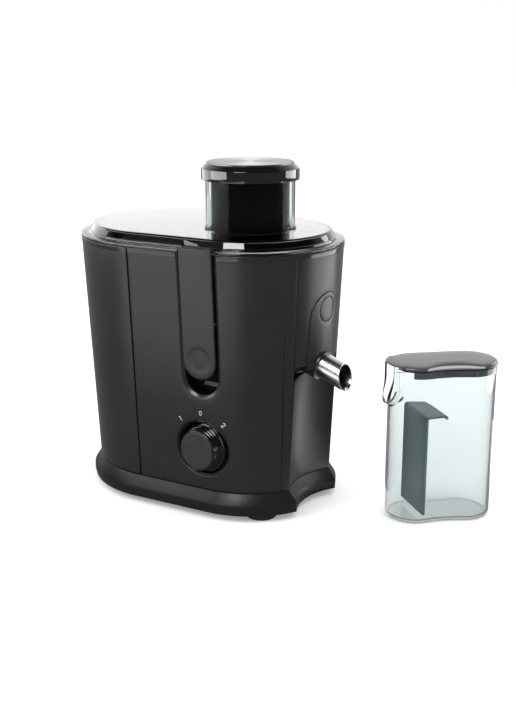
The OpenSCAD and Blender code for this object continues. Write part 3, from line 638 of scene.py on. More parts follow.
def rear_housing():
    b = Build()
    step_z = BAND_Z + 0.5
    z_low = np.linspace(BODY_Z, RECESS_TOP, 40)
    u_edge = U_R * edge_angle(r_at(z_low), recess_r(z_low))
    # pillar between the front cover and the collector
    right = np.stack([-u_edge, z_low], 1)
    above = [[U_SIDE - 0.1, RECESS_TOP + 0.05], [U_SIDE - 0.1, step_z - 0.3], [U_FRONT + 0.2, step_z - 0.3]]
    loop = np.concatenate([[[U_FRONT + 0.2, BODY_Z]], right, above])
    loop = dense(loop, 3)
    edge = np.where((loop[:, 0] > -u_edge.max() - 0.01) & (loop[:, 1] <= RECESS_TOP), 0.05, 0.5)
    panel(b, casing, [loop], WALL, [edge], (3.0, 7.0))
    # back, from the hollow side round to the pulp container
    z_seam = np.linspace(BODY_Z, BODY_TOP, 60)
    seam = np.stack([u_at_x(np.full(60, SEAM_X + 0.25), z_seam, 1), z_seam], 1)
    left = np.stack([u_edge, z_low], 1)[::-1]
    slot = slot_cut(1, BODY_TOP)[::-1]
    loop = np.concatenate([[[-U_SIDE + 0.2, BODY_TOP], [-U_SIDE + 0.2, RECESS_TOP + 0.05]], left, seam])
    loop = np.concatenate([dense(loop, 3.2, False), slot[::-1] if slot[0, 0] < slot[-1, 0] else slot])
    loop = dense(loop, 3.2)
    edge = np.where((loop[:, 0] < u_edge.max() + 0.01) & (loop[:, 1] <= RECESS_TOP), 0.05, 0.5)
    edge[(np.abs(loop[:, 0] - u_at_x(SLOT_X, 190.0, 1)) < SLOT_HALF + 2) & (loop[:, 1] > 110)] = 0.06
    panel(b, casing, [loop], WALL, [edge], (4.5, 8.0))
    pocket_frame(b, 1)
    # hollow side
    angle = np.arcsin(r_at(z_low) * np.sin(u_edge / U_R) / recess_r(z_low))
    up = np.stack([RECESS_R * angle, z_low], 1)
    down = np.stack([-RECESS_R * angle, z_low], 1)[::-1]
    loop = dense(np.concatenate([up, down]), 3)
    edge = np.where(loop[:, 1] > RECESS_TOP - 0.01, 0.8, 0.05)
    panel(b, recess, [loop], WALL, [edge], (3.0, 7.0))
    # wall between the works and the container, and its two flat ends
    inner = lambda u, z, d: np.stack([(r_at(z) - d) * np.cos(u / U_R), (r_at(z) - d) * np.sin(u / U_R), z + 0 * u], 1)
    panel(b, inner, [gate(SEAM_X, 0.0, U_R * PULP_A, BODY_Z)], WALL, 0.3, (4.0, 8.0))
    for side in (-1, 1):
        flat = lambda u, z, d: np.stack([SEAM_X + d + 0 * u, -u, z + 0 * u], 1)
        loop = np.array([[33.8, BODY_Z], [83.1, BODY_Z], [93.8, BODY_TOP], [54.0, BODY_TOP]], float)
        if side > 0:
            loop = (loop * [-1, 1])[::-1]
        panel(b, flat, [dense(loop, 4)], WALL, 0.3, (6.0, 10.0))
    return b.finish("rear_housing_shell", "base", SATIN, ["rear_housing", "side_wall", "divider_wall"])


rear_housing()
pocket("rear_pocket_liner", "rear_pocket", 1)

# ---------------------------------------------------------------- plinth

PLINTH_R, PLINTH_Z, SHOULDER_Z, RECESS_LOW = 85.0, 6.0, 16.0, 69.0


def plinth_line(low_r, high_r, high_z, round_low, round_mid):
    """(radius, height) along the side of the plinth, with soft corners, and the length up to each point."""
    line = rounded([[low_r - 4 * round_low, PLINTH_Z], [low_r, PLINTH_Z], [low_r, SHOULDER_Z], [high_r, high_z]],
                   [0, abs(round_low), abs(round_mid), 0], 6, closed=False)
    length = np.concatenate([[0], np.cumsum(np.linalg.norm(np.diff(line, axis=0), axis=1))])
    return line, length


def plinth():
    b = Build()
    high = r_at(BODY_Z)
    outer, s_out = plinth_line(PLINTH_R, high, 26.5, 1.2, 1.5)
    inner, s_in = plinth_line(RECESS_LOW, RECESS_R, 26.6, -1.2, 1.5)

    def on_outer(u, s, d):
        r, z = np.interp(s, s_out, outer[:, 0]), np.interp(s, s_out, outer[:, 1])
        x, y, _, _ = outline(u, r - d)
        return np.stack([x, y, z + 0 * x], 1)

    def on_inner(u, s, d):
        r, z = np.interp(s, s_in, inner[:, 0]), np.interp(s, s_in, inner[:, 1])
        a = u / RECESS_R
        return np.stack([RECESS_X - (r + d) * np.cos(a), (r + d) * np.sin(a), z + 0 * a], 1)

    zs = np.linspace(PLINTH_Z, 26.4, 50)
    r_of = lambda z: np.interp(z, outer[:, 1], outer[:, 0])
    q_of = lambda z: np.interp(z, inner[:, 1], inner[:, 0])
    angle = edge_angle(r_of(zs), q_of(zs))
    s_at = np.interp(zs, outer[:, 1], s_out)
    u = U_R * angle
    turn = 2 * HALF_TURN
    right = np.stack([u, s_at], 1)[::-1]
    left = np.stack([turn - u, s_at], 1)
    loop = dense(np.concatenate([right, left]), 2.4)
    edge = np.where(loop[:, 1] > s_at[-1] - 0.01, 0.7, 0.04)
    edge[loop[:, 1] < s_at[0] + 0.01] = 0.04
    extra = [(x, s) for s in s_out[2:-2] for x in np.arange(u.max() + 3, turn - u.max() - 3, 4.0)]
    panel(b, on_outer, [loop], 5.0, [edge], (4.0, 5.0), extra=extra)
    a = np.arcsin(np.clip(r_of(zs) * np.sin(angle) / q_of(zs), -1, 1))
    s_at = np.interp(zs, inner[:, 1], s_in)
    up = np.stack([RECESS_R * a, s_at], 1)
    down = np.stack([-RECESS_R * a, s_at], 1)[::-1]
    loop = dense(np.concatenate([up, down]), 2.4)
    edge = np.where(loop[:, 1] > s_at[-1] - 0.01, 0.6, 0.04)
    extra = [(x, s) for s in s_in[2:-2] for x in np.arange(-35, 35.1, 4.0)]
    panel(b, on_inner, [loop], 5.0, [edge], (3.0, 4.0), extra=extra)
    return b.finish("plinth_skirt", "base", FLARE, ["plinth"])


plinth()

# ---------------------------------------------------------------- latches


THUMB_Z = 154.0


def thumb_mark(u, z):
    """A round, slightly hollow mark near the foot of the lever."""
    x0 = u_at_x(LATCH_X, THUMB_Z)
    r = np.hypot(np.abs(u) - abs(x0), z - THUMB_Z)
    return 0.4 * np.clip((12.6 - r) / 2.4, 0, 1) * np.clip(0.35 + r / 18, 0, 1)


def latch(name, node, side, body):
    b = Build()
    line = slot_line(LATCH_HALF, LATCH_END, LATCH_TOP - 0.2, LATCH_X, 48)
    loop = turned(dense(to_u(line, -1), 2.5)[::-1])
    marks = [(u_at_x(LATCH_X, THUMB_Z) + r * math.cos(w), THUMB_Z + r * math.sin(w)) for r in (10.4, 11.2, 12.0, 12.8)
             for w in full_turn(60)]
    panel(b, casing, [loop], 3.0, 1.0, (3.0, 5.0), relief=thumb_mark, rounds=5,
          extra=[(float(p), float(q)) for p, q in marks])
    # hook over the lid's flange
    over = lambda u, t, d: casing(u, LATCH_TOP - 0.05 - d, t)
    w = LATCH_HALF - 0.6
    left, right = float(u_at_x(LATCH_X - w, 257.0)), float(u_at_x(LATCH_X + w, 257.0))
    depth = 88.9 - 80.7
    plate = dense([[left, 0.9], [right, 0.9], [right, depth - 1.6], [left, depth - 0.4]], 2.5)
    panel(b, over, [plate], 2.2, 0.6, (3.0, 3.0))
    # pivot lugs
    for x in (-11, 8):
        cube(b, (LATCH_X + x, -84.0 if x > 0 else -85.2, 184.8), (LATCH_X + x + 3, -74.3, 191.2), 0.4)
    if side > 0:
        b.points = [p * [1, -1, 1] for p in b.points]
        b.faces = [f[::-1] for f in b.faces]
    return b.finish(name, body, SATIN_LATCH, [node])


def cube(build, low, high, edge):
    """Box with rounded upright edges and small flats."""
    (x0, y0, z0), (x1, y1, z1) = low, high
    top = lambda u, v, d: np.stack([u, v, z1 - d + 0 * u], 1)
    panel(build, top, [dense([[x0, y0], [x1, y0], [x1, y1], [x0, y1]], 3)], z1 - z0, edge, (3.0, 3.0), rounds=3)


latch("front_latch_lever", "front_latch", -1, "front_latch")
latch("rear_latch_lever", "rear_latch", 1, "rear_latch")

# ---------------------------------------------------------------- collector, arch panel, spout

ARCH_HALF, ARCH_TOP, ARCH_Z, ROUND_Z = 24.0, 213.0, 143.6, 197.0


def arch_line(half, top, low, n=36):
    """Arch in (y, z), from its lower left up and over to its lower right."""
    return np.concatenate([[[-half, low]], arc(0, top - half, half, 180, 0, n), [[half, low]]])


def side_u(points):
    """(y, z) points, seen along -X, as (u, z) points of the casing's spout side."""
    return np.stack([U_R * np.arcsin(points[:, 0] / r_at(points[:, 1])), points[:, 1]], 1)


def collector():
    b = Build()
    edge_u = U_R * (SIDE_A - math.radians(0.25))
    arch = side_u(dense(arch_line(ARCH_HALF + 0.3, ARCH_TOP + 0.3, SIDE_Z), 2.5, False))
    rest = [[edge_u, SIDE_Z], [edge_u, BODY_TOP - 0.2], [-edge_u, BODY_TOP - 0.2]]
    loop = np.concatenate([[[-edge_u, SIDE_Z]], arch, rest])
    panel(b, casing, [dense(loop, 2.5)], WALL, 0.45, (3.0, 6.0))
    # bowl, with the way over to the pulp container cut from its rim
    bowl = rounded([[17, 134.6], [67, 134.6], [67.5, 200], [78, 244], [78, 252.3], [75.6, 252.3], [75.6, 244.6],
                    [65.1, 200.4], [64.6, 137], [19.2, 137], [19.2, 152], [17, 152]],
                   [0.3, 3, 8, 3, 0.5, 0.5, 3, 8, 2, 1.5, 0.4, 0.4], 5)
    cut = math.degrees(PULP_A)
    ang = np.radians(np.concatenate([np.linspace(-180 + cut + 0.01, 180 - cut - 0.01, 110),
                                     np.linspace(180 - cut, 180 + cut, 30)]))
    rings = []
    for r, z in bowl:
        z = np.where(np.arange(len(ang)) >= 110, min(z, PULP_Z), z)
        rings.append(b.add(np.stack([r * np.cos(ang), r * np.sin(ang), z + 0 * ang], 1)))
    for i, ring in enumerate(rings):
        b.strip(ring, rings[(i + 1) % len(rings)])
    # neck round the spout
    m = spout_matrix()
    lathe(b, [[12.02, -15], [14.4, -15], [14.4, 3.0], [12.02, 3.0]], 64, m)
    return b.finish("collector_shell", "collector", SATIN,
                    ["juice_collector", "collector_bowl", "collector_floor", "collector_tube", "collector_skirt"])


def spout_matrix():
    return Matrix.Translation((SPOUT_X, 0, SPOUT_Z)) @ Matrix.Rotation(math.pi / 2 + SPOUT_SLOPE, 4, "Y")


def spout_cover():
    b = Build()
    proud = lambda u, z, d: casing(u, z, d - 0.4)
    loop = side_u(dense(arch_line(ARCH_HALF, ARCH_TOP, ARCH_Z), 2.0, False))
    loop = turned(dense(loop[::-1], 2.5))
    ring = side_u(arc(0, ROUND_Z, 12.0, 360, 0, 73)[:-1])
    panel(b, proud, [loop, ring], 1.8, 0.5, (3.0, 4.0))
    disc = side_u(arc(0, ROUND_Z, 11.5, 0, 360, 73)[:-1])
    panel(b, proud, [disc], 1.8, 0.35, (3.0, 3.0))
    back = side_u(arc(0, ROUND_Z, 13.0, 0, 360, 49)[:-1])
    panel(b, lambda u, z, d: casing(u, z, d + 0.55), [back], 0.7, 0.05, (4.0, 4.0))
    return b.finish("spout_arch_panel", "collector", SATIN, ["spout_cover"])


def spout():
    """Thin steel tube with a rolled lip, its mouth cut aslant."""
    b = Build()
    m = np.array(spout_matrix())
    seg = 96
    ang = full_turn(seg)
    slope = math.radians(7.9)
    plane_n = np.array([math.cos(slope), 0, math.sin(slope)])
    plane_p = np.array([107.0, 0, 134.6])
    axis, start = m[:3, 2], m[:3, 3]

    def ring(radius, back):
        p = np.stack([radius * np.cos(ang), radius * np.sin(ang), 0 * ang], 1) @ m[:3, :3].T + start
        return p, ((plane_p - p) @ plane_n) / (axis @ plane_n) - back

    rows = []
    for radius, back in ((SPOUT_R, None), (SPOUT_R, 3.0), (SPOUT_R, 0.5), (11.93, 0.18), (11.78, 0.03), (11.5, 0.0),
                         (11.22, 0.03), (11.07, 0.18), (11.0, 0.5), (11.0, 3.0), (11.0, None)):
        p, far_end = ring(radius, back or 0.0)
        t = np.full(seg, -16.8) if back is None else far_end
        rows.append(b.add(p + t[:, None] * axis))
    for i, row in enumerate(rows):
        b.strip(row, rows[(i + 1) % len(rows)])
    return b.finish("steel_spout_tube", "collector", STEEL, ["juice_spout"], sharp=50)


collector()
spout_cover()
spout()

# ---------------------------------------------------------------- pulp container


def container():
    b = Build()
    z = np.linspace(BODY_Z + 0.3, BODY_TOP, 60)
    front = np.stack([u_at_x(np.full(60, SEAM_X - 0.9), z), z], 1)
    back = np.stack([-2 * HALF_TURN + u_at_x(np.full(60, SEAM_X - 0.9), z, 1), z], 1)
    loop = dense(np.concatenate([front, back[::-1]]), 3.4)
    panel(b, casing, [loop], 2.4, 0.55, (4.5, 8.0))
    # concave wall round the collector, opening away from the spindle
    near = lambda u, v, d: np.stack([(r_at(v) + 0.8 + d) * np.cos(u / U_R),
                                     -(r_at(v) + 0.8 + d) * np.sin(u / U_R), v + 0 * u], 1)
    low = BODY_Z + 0.3
    loop = gate(SEAM_X - 0.65, 0.8, U_R * math.asin(PULP_HALF_Y / 88.5), low)
    panel(b, near, [loop], 2.4, 0.3, (4.5, 8.0))
    for side in (-1, 1):
        flat = lambda u, v, d: np.stack([SEAM_X - 0.65 - d + 0 * u, u, v + 0 * u], 1)
        loop = np.array([[34.1, low], [83.1, low], [93.8, BODY_TOP], [54.4, BODY_TOP]], float)
        if side < 0:
            loop = (loop * [-1, 1])[::-1]
        panel(b, flat, [dense(loop, 4)], 2.4, 0.3, (6.0, 10.0))
    # floor
    pts = outline(np.linspace(-2 * HALF_TURN + 194, -194, 160), r_at(low) - 0.8)
    outer = np.stack([pts[0], pts[1]], 1)
    outer = outer[outer[:, 0] < SEAM_X - 0.8]
    a = np.radians(np.linspace(-137, -223, 40))
    near_arc = np.stack([(r_at(low) + 1.2) * np.cos(a), (r_at(low) + 1.2) * np.sin(a)], 1)
    near_arc = near_arc[near_arc[:, 0] < SEAM_X - 0.8]
    if outer[0, 1] < 0:
        outer = outer[::-1]
    ring = turned(np.concatenate([outer, near_arc]))
    plate = lambda u, v, d: np.stack([u, v, low + 2.6 - d + 0 * u], 1)
    panel(b, plate, [dense(ring, 4)], 2.6, 0.1, (6.0, 6.0))
    return b.finish("pulp_container_shell", "pulp_container", SATIN, ["pulp_container"])


container()

# ---------------------------------------------------------------- glossy band round the rim


def band(name, body, u0, u1):
    """Slim strip under the lid's flange, a little proud of the wall."""
    b = Build()
    proud = lambda u, z, d: casing(u, z, d - 0.45)
    loop = dense([[u0, BAND_Z], [u1, BAND_Z], [u1, BODY_TOP - 0.1], [u0, BODY_TOP - 0.1]], 2.5)
    panel(b, proud, [loop], 1.0, 0.35, (4.0, 3.0))
    return b.finish(name, body, BAND)


slot_r = float(u_at_x(SLOT_X + SLOT_HALF - 0.4, 250.0))
slot_l = float(u_at_x(SLOT_X - SLOT_HALF + 0.4, 250.0))
seam_u = float(u_at_x(SEAM_X + 0.3, 250.0))
band("rim_band_front_right", "base", slot_r, U_SIDE - 0.25)
band("rim_band_front_left", "base", seam_u, slot_l)
band("rim_band_side", "collector", U_SIDE + 0.5, -U_SIDE - 0.5)
band("rim_band_back_right", "base", -U_SIDE + 0.3, -slot_r)
band("rim_band_back_left", "base", -slot_l, -seam_u)
band("rim_band_container", "pulp_container", -2 * HALF_TURN + float(u_at_x(SEAM_X - 0.7, 250.0, 1)),
     float(u_at_x(SEAM_X - 0.7, 250.0)))

# ---------------------------------------------------------------- dial


def dial_matrix():
    return Matrix.Translation((DIAL_X, DIAL_Y, DIAL_Z)) @ Matrix.Rotation(math.pi / 2, 4, "X")


def dial():
    m = dial_matrix()
    b = Build()
    # dish: its rim follows the cover, its floor is flat
    seg = 120
    ang = full_turn(seg)
    rows = []
    for radius, depth in ((26.9, 1.2), (26.6, 0.9), (26.2, 1.0), (25.6, 1.7), (25.1, 3.0), (24.9, None), (24.5, -0.3),
                          (5.0, -0.5)):
        x, z = DIAL_X + radius * np.cos(ang), DIAL_Z + radius * np.sin(ang)
        if depth is None:
            y = np.full(seg, -73.2)
        elif depth > 0.8:
            uz = to_u(np.stack([x, z], 1))
            y = casing(uz[:, 0], uz[:, 1], np.full(seg, depth))[:, 1]
        else:
            y = np.full(seg, DIAL_Y + depth)
        rows.append(b.add(np.stack([x, y, z], 1)))
    for a, c in zip(rows, rows[1:]):
        b.strip(a, c)
    b.finish("dial_dish", "base", KNOB, ["dial_bezel"], sharp=60)
    b = Build()
    side = rounded([[0, 1.0], [23.2, 1.0], [23.2, 4.0], [21.9, 4.6], [21.6, 6.6], [21.05, 7.0], [20.9, 9.4],
                    [20.4, 9.8], [20.2, 12.2], [19.75, 12.6], [19.3, 15.9], [18.1, 16.0], [18.0, 14.9], [0, 14.9]],
                   [0, 0.3, 0.6, 0.3, 0.25, 0.25, 0.25, 0.25, 0.25, 0.25, 0.9, 0.2, 0.2, 0], 4, closed=False)
    lathe(b, side, 128, m, closed=False)
    lathe(b, [[0, -14], [3, -14], [3, 1.2], [0, 1.2]], 32, m, closed=False)
    b.finish("dial_knob_body", "knob", KNOB, ["speed_knob"], sharp=60)
    b = Build()
    face = rounded([[0, 15.0], [17.9, 15.0], [17.9, 16.3], [17.2, 16.62], [0, 16.45]], [0, 0.1, 0.3, 0.5, 0], 4,
                   closed=False)
    lathe(b, face, 128, m, closed=False)
    line = lambda u, v, d: np.stack([DIAL_X + u, DIAL_Y - 16.62 + d + 0 * u, DIAL_Z + v], 1)
    panel(b, line, [dense([[-0.6, 11.0], [0.6, 11.0], [0.6, 16.6], [-0.6, 16.6]], 1)], 0.4, 0.15, (1.0, 1.0), rounds=2)
    b.finish("dial_knob_face", "knob", FACE, ["knob_face"])


def dial_marks():
    """Printed figures on the cover: one, nought, two."""
    b = Build()
    proud = lambda u, z, d: casing(u, z, d - 0.12)

    def stroke(points, width, turn, centre):
        """A pen line through (x, z) points, turned and moved, as a thin plate on the cover."""
        pts = resample(np.array(points, float), 24)
        side = inset(pts, np.full(len(pts), width / 2), closed=False)
        other = inset(pts, np.full(len(pts), -width / 2), closed=False)
        loop = np.concatenate([other, side[::-1]])
        c, s = math.cos(turn), math.sin(turn)
        loop = turned(to_u(loop @ np.array([[c, s], [-s, c]]) + centre))
        panel(b, proud, [loop], 0.3, 0.04, (1.0, 1.0), rounds=1)

    step = math.radians(41)
    place_at = lambda a: np.array([DIAL_X + 35 * math.sin(a), DIAL_Z + 35 * math.cos(a)])
    stroke([[0, -2.3], [0, 2.3], [-0.8, 1.5]], 0.5, math.radians(34), place_at(-step) + [1.0, 0])
    ring = np.stack([1.35 * np.cos(np.linspace(0, 2 * math.pi, 40)), 2.0 * np.sin(np.linspace(0, 2 * math.pi, 40))], 1)
    outer = to_u(ring[:-1] * 1.10 + place_at(0))
    inner = to_u((ring[:-1] * 0.82 + place_at(0))[::-1])
    panel(b, proud, [outer, inner], 0.3, 0.04, (1.0, 1.0), rounds=1)
    two = np.concatenate([arc(0, 1.0, 1.25, 165, -35, 14), [[-1.3, -2.1], [1.5, -2.1]]])
    stroke(two[:-1], 0.5, math.radians(-38), place_at(step))
    stroke(two[-2:], 0.5, math.radians(-38), place_at(step))
    b.finish("dial_figures", "base", MARK, ["dial_marks"])


dial()
dial_marks()

# ---------------------------------------------------------------- lid, feed tube, pusher


LATCH_CUT = 80.2                          # the flange is flat here, to leave room for the latches' hooks


def lid():
    """One closed clear shell: flange, stepped wall, flat top with a round hole for the tube; flange and wall carry
    painted shade, a dark-tinted copy of the clear material.
    """
    b = Build()
    u = np.linspace(-HALF_TURN, HALF_TURN, 420, endpoint=False)
    clip = [float(u_at_x(LATCH_X + s * (LATCH_HALF + 0.5), 255.0)) for s in (-1, 1)]
    near = [v + e for v in clip for e in (-0.02, 0.02)]
    u = np.sort(np.concatenate([u, near, [-v for v in near]]))
    keep = np.concatenate([[True], np.diff(u) > 0.01])
    u = u[keep]
    cut = (np.abs(u) > abs(clip[1])) & (np.abs(u) < abs(clip[0]))
    # (inset from the rim radius, height), outside first, from the underside of the flange up to the plateau
    outer = rounded([[10.2, 252.8], [-0.25, 252.8], [-0.25, 255.4], [7.4, 255.6], [7.8, 257.4], [9.0, 257.7],
                     [11.6, 262.4], [13.0, PLATEAU_Z], [17, PLATEAU_Z]],
                    [0, 0.7, 0.9, 0.8, 0.4, 0.4, 1.0, 0.9, 0], 5, closed=False)
    inner = rounded([[17, 262.0], [14.6, 262.0], [11.0, 256.0], [10.4, 252.8]], [0, 1.5, 1.5, 0], 5, closed=False)
    rows = []
    for off, z in np.concatenate([outer, inner]):
        x, y, _, _ = outline(u, RIM_R - off)
        y = np.where(cut, np.clip(y, -LATCH_CUT, LATCH_CUT), y)
        rows.append(b.add(np.stack([x, y, z + 0 * x], 1)))
    n_out = len(outer)
    for i in range(len(rows) - 1):
        if i != n_out - 1:
            b.strip(rows[i], rows[i + 1])
    b.strip(rows[-1], rows[0])
    hole = arc(0, 0, TUBE_R - 0.9, 360, 0, 161)[:-1]
    above = cover_ring(b, rows[n_out - 1], True, [hole], 7)[:len(hole)]
    below = cover_ring(b, rows[n_out], False, [hole], 7)[:len(hole)]
    b.strip(below, above)
    obj = b.finish("lid_shell", "lid", CLEAR, ["lid_cover", "lid_rim"], sharp=40)
    # Flange and stepped wall take the dark-tinted clear copy: painted shade for the black body behind them.
    obj.data.materials.append(PAINTED_SHADE_CLEAR)
    for poly in obj.data.polygons:
        poly.material_index = int(poly.center.z < 263.9 * MM and abs(poly.normal.z) < 0.999 or poly.center.z < 258 * MM)
    return obj


def feed_tube():
    b = Build()
    low, top = 172.0, 318.0
    wall = rounded([[TUBE_R, low], [TUBE_R, 262.0], [TUBE_R, 264.6], [TUBE_R + 1.2, 264.9], [TUBE_R + 1.1, 266.0],
                    [TUBE_R, 266.6], [TUBE_R, top], [TUBE_R - TUBE_WALL, top], [TUBE_R - TUBE_WALL, low]],
                   [0.4, 0, 0, 0.2, 0.3, 0.5, 0.8, 0.8, 0.4], 5)
    lathe(b, wall, 160)
    return b.finish("feed_tube_wall", "lid", TUBE, ["feed_tube"], sharp=40)


def pusher():
    b = Build()
    wall = rounded([[0, 176], [37, 176], [37, 322], [34.4, 322], [34.4, 179], [0, 179]], [0, 2.5, 0.3, 0.3, 2, 0], 6,
                   closed=False)
    lathe(b, wall, 128, closed=False)
    b.finish("pusher_body", "pusher", PUSHER, ["pusher"], sharp=60)
    b = Build()
    cap = rounded([[42.6, 310.1], [46, 310.1], [46, 320.6], [41.6, CAP_TOP - 0.1], [37, CAP_TOP], [0, CAP_TOP],
                   [0, 318.5], [42.6, 318.5]],
                  [0.4, 0.6, 0.5, 0.5, 0.2, 0, 0, 0.3], 4, closed=False)
    lathe(b, cap, 160, closed=False)
    lathe(b, [[42.6, 318.5], [42.6, 310.5]], 160, closed=False)
    b.finish("pusher_cap_shell", "pusher", GLOSS, ["pusher_cap"], sharp=30, weld=0.001)
    b = Build()
    disc = rounded([[0, CAP_TOP], [40.8, CAP_TOP], [40.8, 326.0], [40.2, 326.4], [0, 326.35]], [0, 0, 0.2, 0.3, 0], 4,
                   closed=False)
    lathe(b, disc, 160, closed=False)
    b.finish("pusher_cap_inlay", "pusher", SPUN, ["pusher_cap_disc"])


lid()
feed_tube()
pusher()

# ---------------------------------------------------------------- jug


def jug_line(n=480):
    """The jug's plan as evenly spaced points with their outward directions, in its own axes."""
    half_w, end_x = JUG_W / 2, JUG_LEN / 2 - JUG_W / 2
    waist_r = (end_x**2 + WAIST**2) / (2 * WAIST)
    side = np.linspace(end_x, -end_x, 60)
    dip = np.sqrt(waist_r**2 - side**2) - (waist_r - WAIST)
    upper = np.stack([side, half_w - dip], 1)
    left = arc(-end_x, 0, half_w, 90, 270, 120)
    right = arc(end_x, 0, half_w, -90, 90, 120)
    ring = np.concatenate([right[:-1], upper[:-1], left[:-1], (upper * [1, -1])[::-1][:-1]])
    closed = np.concatenate([ring, ring[:1]])
    ring = resample(closed, n + 1)[:-1]
    width = 14
    kernel = np.exp(-0.5 * (np.arange(-width, width + 1) / 4.5) ** 2)
    kernel /= kernel.sum()
    wrapped = np.concatenate([ring[-width:], ring, ring[:width]])
    ring = np.stack([np.convolve(wrapped[:, i], kernel, "valid") for i in range(2)], 1)
    step = np.roll(ring, -1, 0) - np.roll(ring, 1, 0)
    step /= np.linalg.norm(step, axis=1)[:, None]
    normal = np.stack([step[:, 1], -step[:, 0]], 1)
    grow = (JUG_LEN / 2 - ring[:, 0].max())
    return ring + normal * grow, normal


PLAN, PLAN_N = jug_line()


def in_place(points):
    c, s = math.cos(JUG_TURN), math.sin(JUG_TURN)
    points = np.asarray(points, float)
    x = JUG_X + points[:, 0] * c - points[:, 1] * s
    y = JUG_Y + points[:, 0] * s + points[:, 1] * c
    return np.stack([x, y, points[:, 2]], 1)


def plan_rings(build, profile):
    """Rings at (inset, height) round the jug's plan; inset may be an array."""
    rows = []
    for off, z in profile:
        p = PLAN - PLAN_N * np.reshape(off, (-1, 1))
        rows.append(build.add(in_place(np.column_stack([p, np.zeros(len(p)) + z]))))
    return rows


def outwards(mesh):
    """Turns every face of a closed mesh outwards."""
    bm = bmesh.new()
    bm.from_mesh(mesh)
    bmesh.ops.recalc_face_normals(bm, faces=bm.faces)
    bm.to_mesh(mesh)
    bm.free()


def cut_notch(obj, half, low, high, start=38.0):
    """Cuts the U-shaped opening for the spout out of the jug's end wall."""
    b = Build()
    line = np.concatenate([arc(0, low + half, half, 180, 360, 40), [[half, high], [-half, high]]])
    rows = []
    for x in (start, 70.0):
        rows.append(b.add(in_place(np.column_stack([np.full(len(line), x), line]))))
    b.strip(rows[1], rows[0])
    b.faces.append([int(i) for i in rows[1]])
    b.faces.append([int(i) for i in rows[0][::-1]])
    mesh = bpy.data.meshes.new("notch_tool")
    mesh.from_pydata(((np.concatenate(b.points) + SHIFT) * MM).tolist(), [], b.faces)
    outwards(mesh)
    tool = bpy.data.objects.new("notch_tool", mesh)
    bpy.context.scene.collection.objects.link(tool)
    mod = obj.modifiers.new("notch", "BOOLEAN")
    mod.operation, mod.solver, mod.object = "DIFFERENCE", "EXACT", tool
    dg = bpy.context.evaluated_depsgraph_get()
    made = bpy.data.meshes.new_from_object(obj.evaluated_get(dg))
    obj.modifiers.clear()
    obj.data = made
    bpy.data.objects.remove(tool)
    made.shade_smooth()
    made.set_sharp_from_angle(angle=math.radians(35))


def lip(z):
    """How far the wall stands out round the notch for the spout, at each point of the plan."""
    y, z0 = PLAN[:, 1], NOTCH_LOW + NOTCH_HALF
    gap = np.hypot(y, min(z - z0, 0.0)) - NOTCH_HALF
    out = LIP_OUT * np.exp(-((np.clip(gap, 0, None) / 1.7) ** 2))
    return np.where(PLAN[:, 0] > 15, out, 0.0)


def jug():
    b = Build()
    outer = rounded([[9, 0], [0, 0], [0, JUG_H], [2.2, JUG_H], [2.2, 2.6], [9, 2.6]], [0, 5.5, 0.7, 0.7, 3.6, 0], 7,
                    closed=False)
    step = np.linspace(100.0, 145.0, 46)
    at = [np.argmax(outer[:, 1] > 20), len(outer) - np.argmax(outer[::-1, 1] > 20)]
    up, down = np.stack([0 * step, step], 1), np.stack([0 * step + 2.2, step], 1)[::-1]
    profile = np.concatenate([outer[:at[0]], up, outer[at[0]:at[1]], down, outer[at[1]:]])
    rows = plan_rings(b, [(off - lip(z), z) for off, z in profile])
    for a, c in zip(rows, rows[1:]):
        b.strip(a, c)
    cover_ring(b, rows[0], False)
    cover_ring(b, rows[-1], True)
    obj = b.finish("jug_body", "jug", JUG, ["jug"], sharp=40)
    cut_notch(obj, NOTCH_HALF, NOTCH_LOW, JUG_H + 2)
    return obj


def separator():
    b = Build()
    upper = PLAN[PLAN[:, 1] > 0]
    upper = upper[np.argsort(upper[:, 0])]
    c, k = math.cos(PLATE_TURN), math.sin(PLATE_TURN)

    def end(t, z, side):
        """Where a line across the plate, t from its face, meets the jug's wall."""
        s = 0.0
        for _ in range(12):
            x = PLATE_X + t * c - s * k
            s = (side * (float(np.interp(x, upper[:, 0], upper[:, 1])) - 2.7) - PLATE_Y - t * k) / c
        return PLATE_X + t * c - s * k, PLATE_Y + t * k + s * c, z

    rise = np.stack([np.full(30, 1.0), np.linspace(8, 101, 30)], 1)
    flat = np.stack([np.linspace(-1, -18, 12), np.full(12, 103.0)], 1)
    line = np.concatenate([rise, arc(-1.0, 101.0, 2.0, 15, 75, 4), flat, [[-18.4, 102.7], [-18.6, 100.4]]])
    across = np.gradient(line, axis=0)
    across /= np.linalg.norm(across, axis=1)[:, None]
    across = np.stack([-across[:, 1], across[:, 0]], 1) * 0.95
    rows = [b.add(in_place([end(t, z, side) for t, z in line + sign * across])) for sign in (-1, 1) for side in (-1, 1)]
    a, d, e, g = rows
    for low, high in ((a, d), (g, e), (e, a), (d, g)):
        b.strip(low, high, False)
    b.faces += [[int(a[0]), int(e[0]), int(g[0]), int(d[0])], [int(a[-1]), int(d[-1]), int(g[-1]), int(e[-1])]]
    obj = b.finish("foam_separator_plate", "jug", SEPARATOR, ["foam_separator"], sharp=40)
    outwards(obj.data)
    return obj


